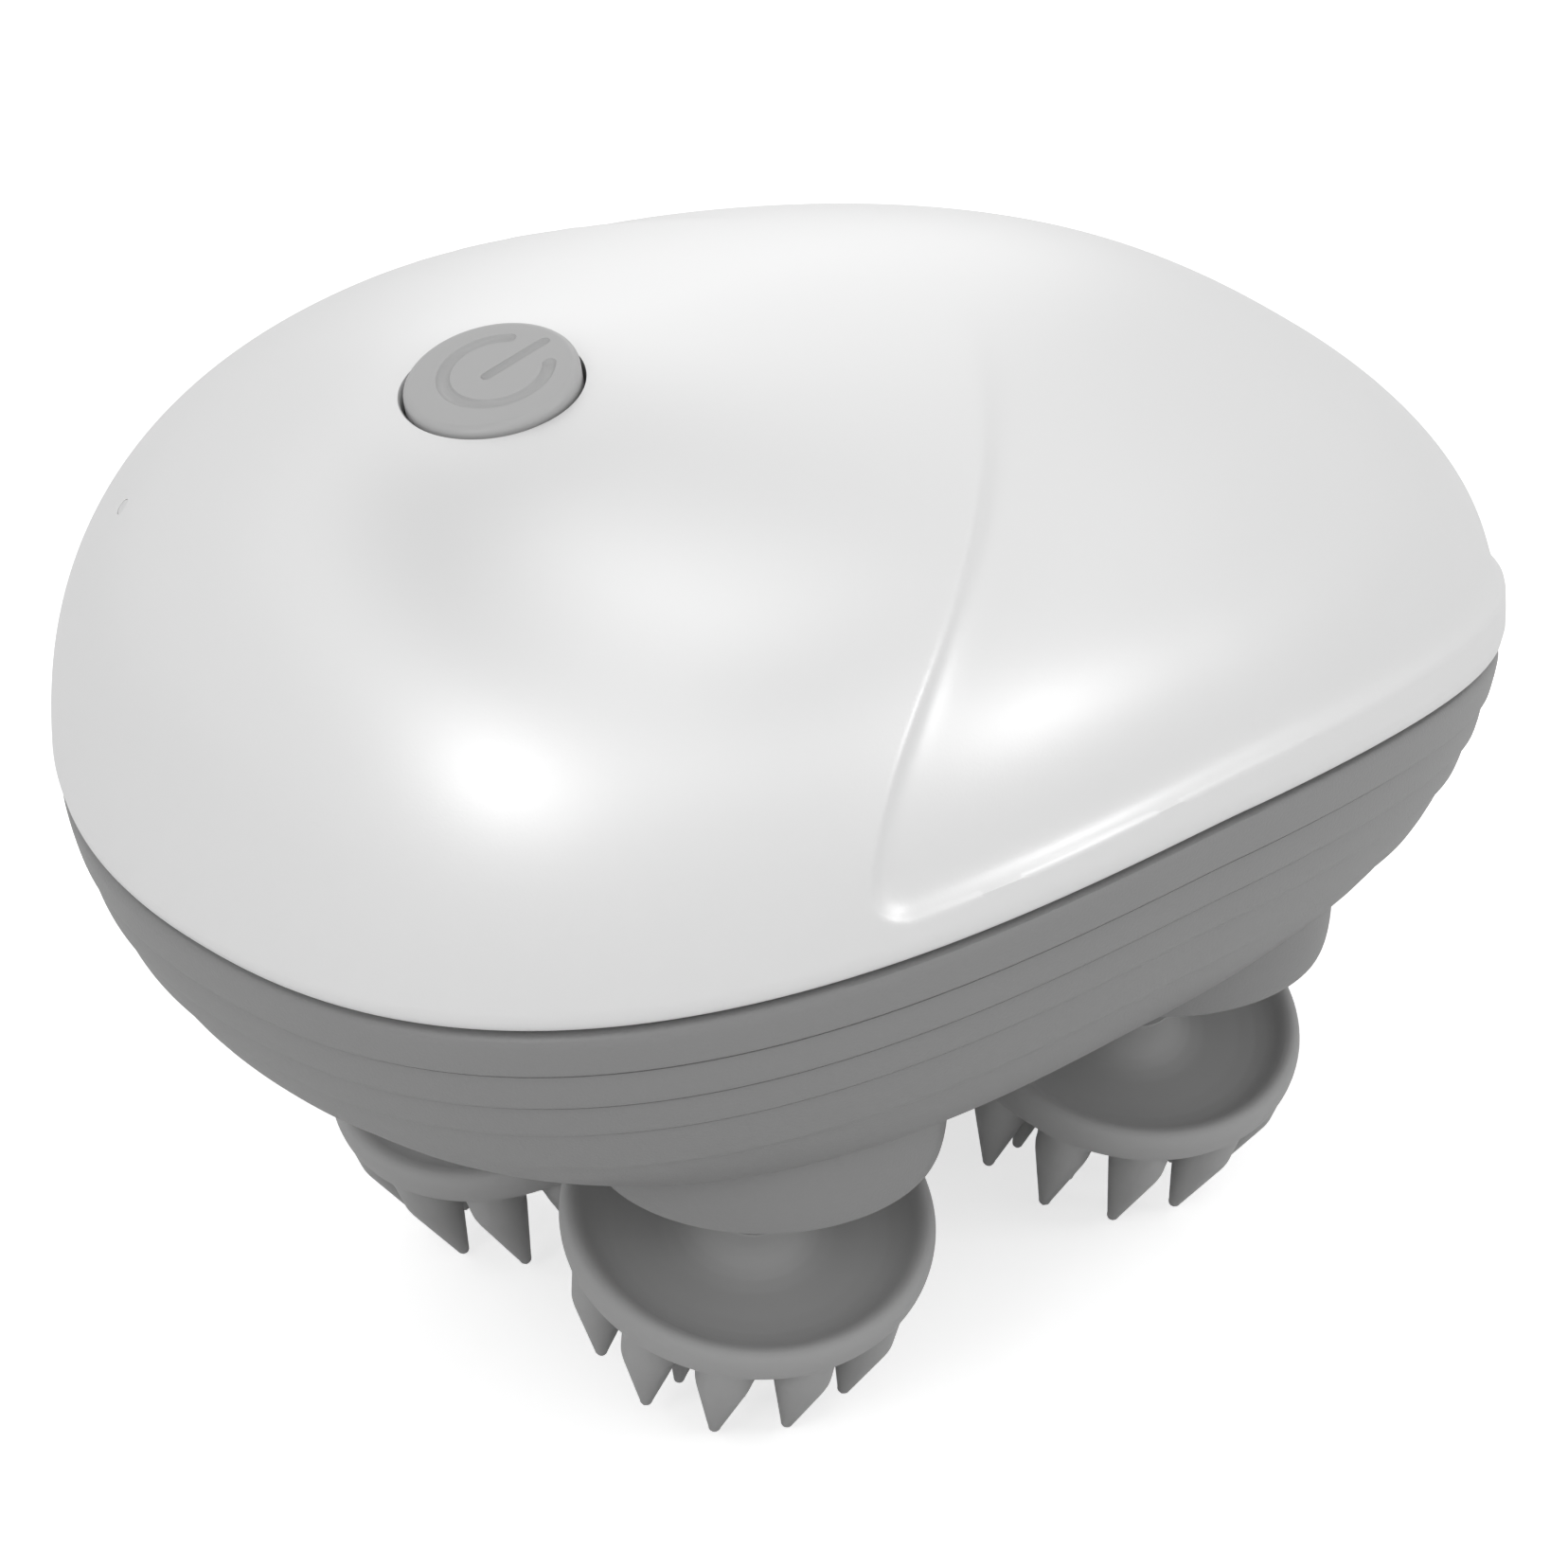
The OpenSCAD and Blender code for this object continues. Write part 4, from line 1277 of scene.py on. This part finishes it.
@dataclass
class Window:
    """The small frosted plug of the charge indicator. Sizes are in millimetres."""

    cover: Cover
    radius: float = 0.6
    length: float = 2.2
    dome: tuple[Point, ...] = ((1.0, -0.08), (0.9, -0.03), (0.6, -0.01), (0.0, 0.0))
    crease: float = 40.0

    def build(self) -> bpy.types.Object:
        """Models the plug as a low dome.

        Returns:
            The finished piece.
        """
        r = self.radius
        outline = [(0, -self.length), (r, -self.length)] + [(r * u, z) for u, z in self.dome]
        made = Bench.turned("window_plug", outline, self.cover.window_sides)
        made.data.transform(self.cover.window_frame())
        Bench.smooth(made, self.crease)
        FROSTED.dress(made)
        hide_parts("indicator_window")
        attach(made, Body.HOUSING.value)
        return made


# ---- Claw heads ----


@dataclass
class Claw:
    """A hooked claw in the plane of X and Z, in millimetres.

    Attributes:
        name: Name of the claw.
        root: Radius and height of the root.
        tip: Radius and height of the middle of the tip's ball.
        root_radius: Radius at the root.
        tip_radius: Radius of the tip.
        taper: Length over which the claw narrows to its tip.
        flatness: Its thickness across, as a share.
        slices: Number of slices along it.
    """

    name: str
    root: Point
    tip: Point
    root_radius: float
    tip_radius: float
    taper: float
    flatness: float = 0.92
    slices: int = 16

    def build(self) -> bpy.types.Object:
        """Adds a cone, slices it, leans and narrows it into the claw and rounds its tip.

        Returns:
            The claw.
        """
        (rx, rz), (tx, tz) = self.root, self.tip
        length = math.hypot(tx - rx, tz - rz)
        Bench.clear()
        bpy.ops.mesh.primitive_cone_add(vertices=28, radius1=self.root_radius * MM,
                                        radius2=self.tip_radius * MM, depth=length * MM)
        made = Bench.named(self.name)
        bpy.ops.object.mode_set(mode="EDIT")
        for k in range(1, self.slices):
            height = (k / self.slices - 0.5) * length * MM
            bpy.ops.mesh.select_all(action="SELECT")
            bpy.ops.mesh.bisect(plane_co=(0, 0, height), plane_no=(0, 0, 1))
        bpy.ops.object.mode_set(mode="OBJECT")
        at = Bench.points(made) / MM
        u = np.clip(at[:, 2] / length + 0.5, 0, 1)
        line = math.atan2(tz - rz, tx - rx)
        full = self.root_radius + (self.tip_radius - self.root_radius) * u
        share = np.clip((1 - u) * length / self.taper, 0, 1)
        swell = (self.tip_radius + (self.root_radius - self.tip_radius) * share) / full
        side = at[:, 0] * swell
        x = rx + (tx - rx) * u + side * abs(math.sin(line))
        z = rz + (tz - rz) * u - side * math.cos(line) * math.copysign(1, math.sin(line))
        y = at[:, 1] * swell * self.flatness
        Bench.put_points(made, np.stack([x, y, z], axis=-1))
        ball = Bench.ball(self.tip_radius, (tx, 0, tz), segments=24, bands=14)
        return Bench.join(self.name, [made, ball])


@dataclass
class ClawPads:
    """The silicone pads with a dished top, a rounded lip and hooked claws, in millimetres.

    A pair in an outline's part is a distance in from the radius, or out from the neck, and a
    height over the underside, the lip's lower edge or the rim.
    """

    heads: HeadPlaces
    radius: float = 13.5
    rim_at: float = 8.6
    rim_height: float = 2.8
    dish_at: float = 10.6
    under_at: float = 13.9
    neck_radius: float = 3.3
    under: tuple[Point, ...] = ((3.6, 0.0), (2.6, 0.3))
    flare: tuple[Point, ...] = (
        (1.9, -1.5), (1.3, -0.75), (0.8, -0.25), (0.4, 0.0), (0.15, 0.35), (0.03, 0.85))
    lip: tuple[Point, ...] = (
        (0.0, -1.4), (0.04, -0.9), (0.18, -0.45), (0.45, -0.12), (0.85, 0.0), (1.25, -0.1),
        (1.62, -0.4), (2.0, -0.78), (2.5, -1.12), (3.3, -1.46), (4.6, -1.76), (6.2, -1.93))
    foot_out: float = 2.9
    neck: tuple[Point, ...] = (
        (1.9, -1.86), (1.1, -1.5), (0.55, -0.95), (0.18, -0.3), (0.0, 0.4), (0.0, 0.9))
    tip_drop: float = 12.7
    tip_ring: float = 10.2
    tip_radius: float = 0.5
    root_radius: float = 2.3
    root_ring: float = 11.05
    root_drop: float = 2.3
    outer_claws: int = 12
    outer_taper: float = 7.0
    inner_ring: float = 7.4
    inner_claws: int = 10
    inner_root_radius: float = 1.6
    inner_root_rise: float = 0.8
    inner_tip_rise: float = 0.4
    inner_tip_share: float = 0.9
    inner_taper: float = 5.5
    claw_turn: float = 5.0
    voxel: float = 0.18

    def outline(self) -> list[Point]:
        """Outline of the pad from its underside's middle round the lip to the dish's middle.

        Returns:
            Radius and height over the pivot.
        """
        r, rim, stem, under = self.radius, -self.rim_at, self.neck_radius, -self.under_at
        low = rim - self.rim_height
        made = [(0, under)] + [(r - inwards, under + up) for inwards, up in self.under]
        made += [(r - inwards, low + up) for inwards, up in self.flare]
        made += [(r - inwards, rim + up) for inwards, up in self.lip]
        made.append((stem + self.foot_out, -self.dish_at))
        made += [(stem + out, rim + up) for out, up in self.neck]
        return made + [(0, made[-1][1])]

    def claws(self) -> list[tuple[Claw, int, float]]:
        """Sets out the outer and the inner claws.

        Returns:
            A claw of each row, its count and the row's offset in steps.
        """
        tip_at = -(self.rim_at + self.tip_drop)
        outer = Claw("long_claw", (self.root_ring, -self.rim_at - self.root_drop),
                     (self.tip_ring, tip_at), self.root_radius, self.tip_radius, self.outer_taper)
        inner = Claw("short_claw", (self.inner_ring, -self.under_at + self.inner_root_rise),
                     (self.inner_ring, tip_at + self.inner_tip_rise), self.inner_root_radius,
                     self.tip_radius * self.inner_tip_share, self.inner_taper)
        return [(outer, self.outer_claws, 0.0), (inner, self.inner_claws, 0.5)]

    def pattern(self) -> bpy.types.Object:
        """Models one pad with all its claws as a single skin.

        Returns:
            The pad in the head's own frame.
        """
        parts = [Bench.turned("pad_pattern", self.outline(), sides=144)]
        first = math.radians(self.claw_turn)
        for claw, count, offset in self.claws():
            model = claw.build()
            for k in range(count):
                turn = Matrix.Rotation(math.tau * (k + offset) / count + first, 4, "Z")
                parts.append(Bench.copy_to(model, f"{claw.name}_{k}", turn))
            bpy.data.objects.remove(model, do_unlink=True)
        made = Bench.join("pad_pattern", parts)
        Bench.modify(made, "REMESH", mode="VOXEL", voxel_size=self.voxel * MM)
        Bench.modify(made, "SMOOTH", factor=0.5, iterations=4)
        return made

    def build(self) -> list[bpy.types.Object]:
        """Models one pad and copies it onto the four heads.

        Returns:
            The four pads.
        """
        pattern = self.pattern()
        Bench.pick(pattern)
        bpy.ops.object.shade_smooth()
        SILICONE.dress(pattern)
        made = []
        for head in Head:
            pad = Bench.copy_to(pattern, f"pad_{head.value}", self.heads.frame(head))
            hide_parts(f"claw_pad_{head.value}")
            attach(pad, head.body)
            made.append(pad)
        bpy.data.objects.remove(pattern, do_unlink=True)
        return made


# ---- Studio ----


def stand(name: str, data: bpy.types.ID, place: Vector, back: Vector) -> bpy.types.Object:
    """Adds a lamp or a camera that looks against a direction.

    Args:
        name: Name of the object.
        data: The lamp or the camera.
        place: Where it stands.
        back: Direction from what it looks at to it.

    Returns:
        The object.
    """
    made = bpy.data.objects.new(name, data)
    made.location = place
    made.rotation_euler = (-back).to_track_quat("-Z", "Y").to_euler()
    bpy.context.collection.objects.link(made)
    return made


@dataclass
class Softbox:
    """A round studio lamp that faces the object.

    Attributes:
        name: Name of the lamp.
        azimuth: Direction seen from the object, 0 along -Y and 90 along +X, in degrees.
        elevation: Angle over the floor, in degrees.
        distance: Distance from the object, in metres.
        size: Diameter, in metres.
        power: Power in watts.
        aim_height: Height that it faces, in metres.
    """

    name: str
    azimuth: float
    elevation: float
    distance: float
    size: float
    power: float
    aim_height: float = 0.045

    def build(self) -> bpy.types.Object:
        """Adds the lamp.

        Returns:
            The lamp object.
        """
        data = bpy.data.lights.new(self.name, "AREA")
        data.shape = "DISK"
        data.size = self.size
        data.energy = self.power
        out = direction(self.azimuth, self.elevation)
        return stand(self.name, data, Vector((0, 0, self.aim_height)) + out * self.distance, out)


@dataclass
class Studio:
    """White floor, soft lamps and camera."""

    softboxes: tuple[Softbox, ...] = (
        Softbox("key_left", -74.0, 30.0, 0.75, 0.2, 0.5),
        Softbox("key_right", 31.0, 20.0, 0.75, 0.2, 0.42),
        Softbox("front_wash", -44.0, 50.0, 1.1, 0.7, 0.33),
        Softbox("overhead_left", -44.0, 78.0, 0.8, 0.5, 0.36),
        Softbox("overhead_right", 60.0, 78.0, 0.8, 0.5, 0.46),
        Softbox("back_wash", 135.0, 20.0, 1.1, 0.7, 0.74),
    )
    sky_bands: tuple[Point, ...] = ((0.13, 0.86), (0.38, 0.70), (0.63, 1.15), (0.88, 0.45))
    eye: tuple[float, float, float] = (-0.27939, -0.28441, 0.26870)
    azimuth: float = -43.9
    elevation: float = 30.2
    focal: float = 145.67
    sensor: float = 36.0
    clip: tuple[float, float] = (0.01, 20.0)
    floor_size: float = 6.0
    floor_at: float = -0.0002
    floor_grey: float = 0.8
    floor_glow: float = 0.62

    def build(self) -> None:
        """Adds the camera, lamps, world and floor."""
        self.camera()
        for box in self.softboxes:
            box.build()
        self.world()
        self.floor()
        bpy.context.scene.view_settings.view_transform = "Standard"

    def camera(self) -> None:
        """Adds the camera."""
        data = bpy.data.cameras.new("camera")
        data.lens = self.focal
        data.sensor_width = self.sensor
        data.clip_start, data.clip_end = self.clip
        back = direction(self.azimuth, self.elevation)
        bpy.context.scene.camera = stand("camera", data, Vector(self.eye), back)

    def world(self) -> None:
        """Lights the scene with a pale sky, brightest at mid height, that shows as white."""
        world = bpy.data.worlds.new("studio_sky")
        bpy.context.scene.world = world
        graph = Graph(world, empty=True)
        out = graph.add("ShaderNodeOutputWorld")
        mix = graph.add("ShaderNodeMixShader")
        lit = graph.add("ShaderNodeBackground", {"Color": WHITE})
        seen = graph.add("ShaderNodeBackground", {"Color": WHITE, "Strength": 1.0})
        coords = graph.add("ShaderNodeTexCoord")
        parts = graph.add("ShaderNodeSeparateXYZ")
        path = graph.add("ShaderNodeLightPath")
        ramp = graph.add("ShaderNodeValToRGB")
        stops = ramp.color_ramp.elements
        for height, _ in self.sky_bands[len(stops):]:
            stops.new(height)
        top = max(strength for _, strength in self.sky_bands)
        for stop, (height, strength) in zip(stops, self.sky_bands):
            stop.position = height
            stop.color = (*grey(strength / top), 1.0)
        scale = graph.add("ShaderNodeMath", {1: top}, operation="MULTIPLY")
        graph.link(coords, "Generated", parts, "Vector")
        graph.link(parts, "Z", ramp, "Fac")
        graph.link(ramp, "Color", scale, 0)
        graph.link(scale, "Value", lit, "Strength")
        graph.link(path, "Is Camera Ray", mix, "Fac")
        graph.link(lit, "Background", mix, 1)
        graph.link(seen, "Background", mix, 2)
        graph.link(mix, "Shader", out, "Surface")

    def floor(self) -> None:
        """Adds the white floor, which keeps a faint shadow of the object."""
        Bench.clear()
        bpy.ops.mesh.primitive_plane_add(size=self.floor_size, location=(0, 0, self.floor_at))
        plane = Bench.named("studio_floor")
        Bench.settle(plane)
        made = bpy.data.materials.new("white_floor")
        graph = Graph(made, empty=True)
        out = graph.add("ShaderNodeOutputMaterial")
        matte = graph.add("ShaderNodeBsdfDiffuse", {"Color": (*grey(self.floor_grey), 1.0)})
        glow = graph.add("ShaderNodeEmission", {"Strength": self.floor_glow})
        add = graph.add("ShaderNodeAddShader")
        mix = graph.add("ShaderNodeMixShader")
        path = graph.add("ShaderNodeLightPath")
        either = graph.add("ShaderNodeMath", operation="MAXIMUM")
        graph.link(path, "Is Camera Ray", either, 0)
        graph.link(path, "Is Transmission Ray", either, 1)
        graph.link(matte, "BSDF", add, 0)
        graph.link(glow, "Emission", add, 1)
        graph.link(either, "Value", mix, "Fac")
        graph.link(matte, "BSDF", mix, 1)
        graph.link(add, "Shader", mix, 2)
        graph.link(mix, "Shader", out, "Surface")
        plane.data.materials.append(made)


# ---- Assembly ----


def dress_nodes(nodes: Mapping[str, bpy.types.Object]) -> None:
    """Gives every carried-over solid its finish, by the frame's nodes and their names."""
    for name, solid in nodes.items():
        finish_for(name).dress(solid)


def report(pieces: Iterable[bpy.types.Object]) -> None:
    """Logs each piece with its number of faces."""
    for piece in pieces:
        LOG.info("%s: %d faces", piece.name, len(piece.data.polygons))


def main() -> None:
    """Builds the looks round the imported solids."""
    logging.basicConfig(level=logging.INFO, format="%(message)s")
    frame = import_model()
    dress_nodes(frame["nodes"])
    form = ShellForm()
    heads = HeadPlaces()
    seat = ButtonSeat()
    cover = Cover(form, seat)
    steps: list[Callable[[], object]] = [
        cover.build, Base(form, heads).build, Seal(form).build, Necks(heads).build,
        PowerButton(seat).build, Window(cover).build, ClawPads(heads).build,
    ]
    for step in steps:
        made = step()
        report(made if isinstance(made, list) else [made])
    Studio().build()


if __name__ == "__main__":
    main()
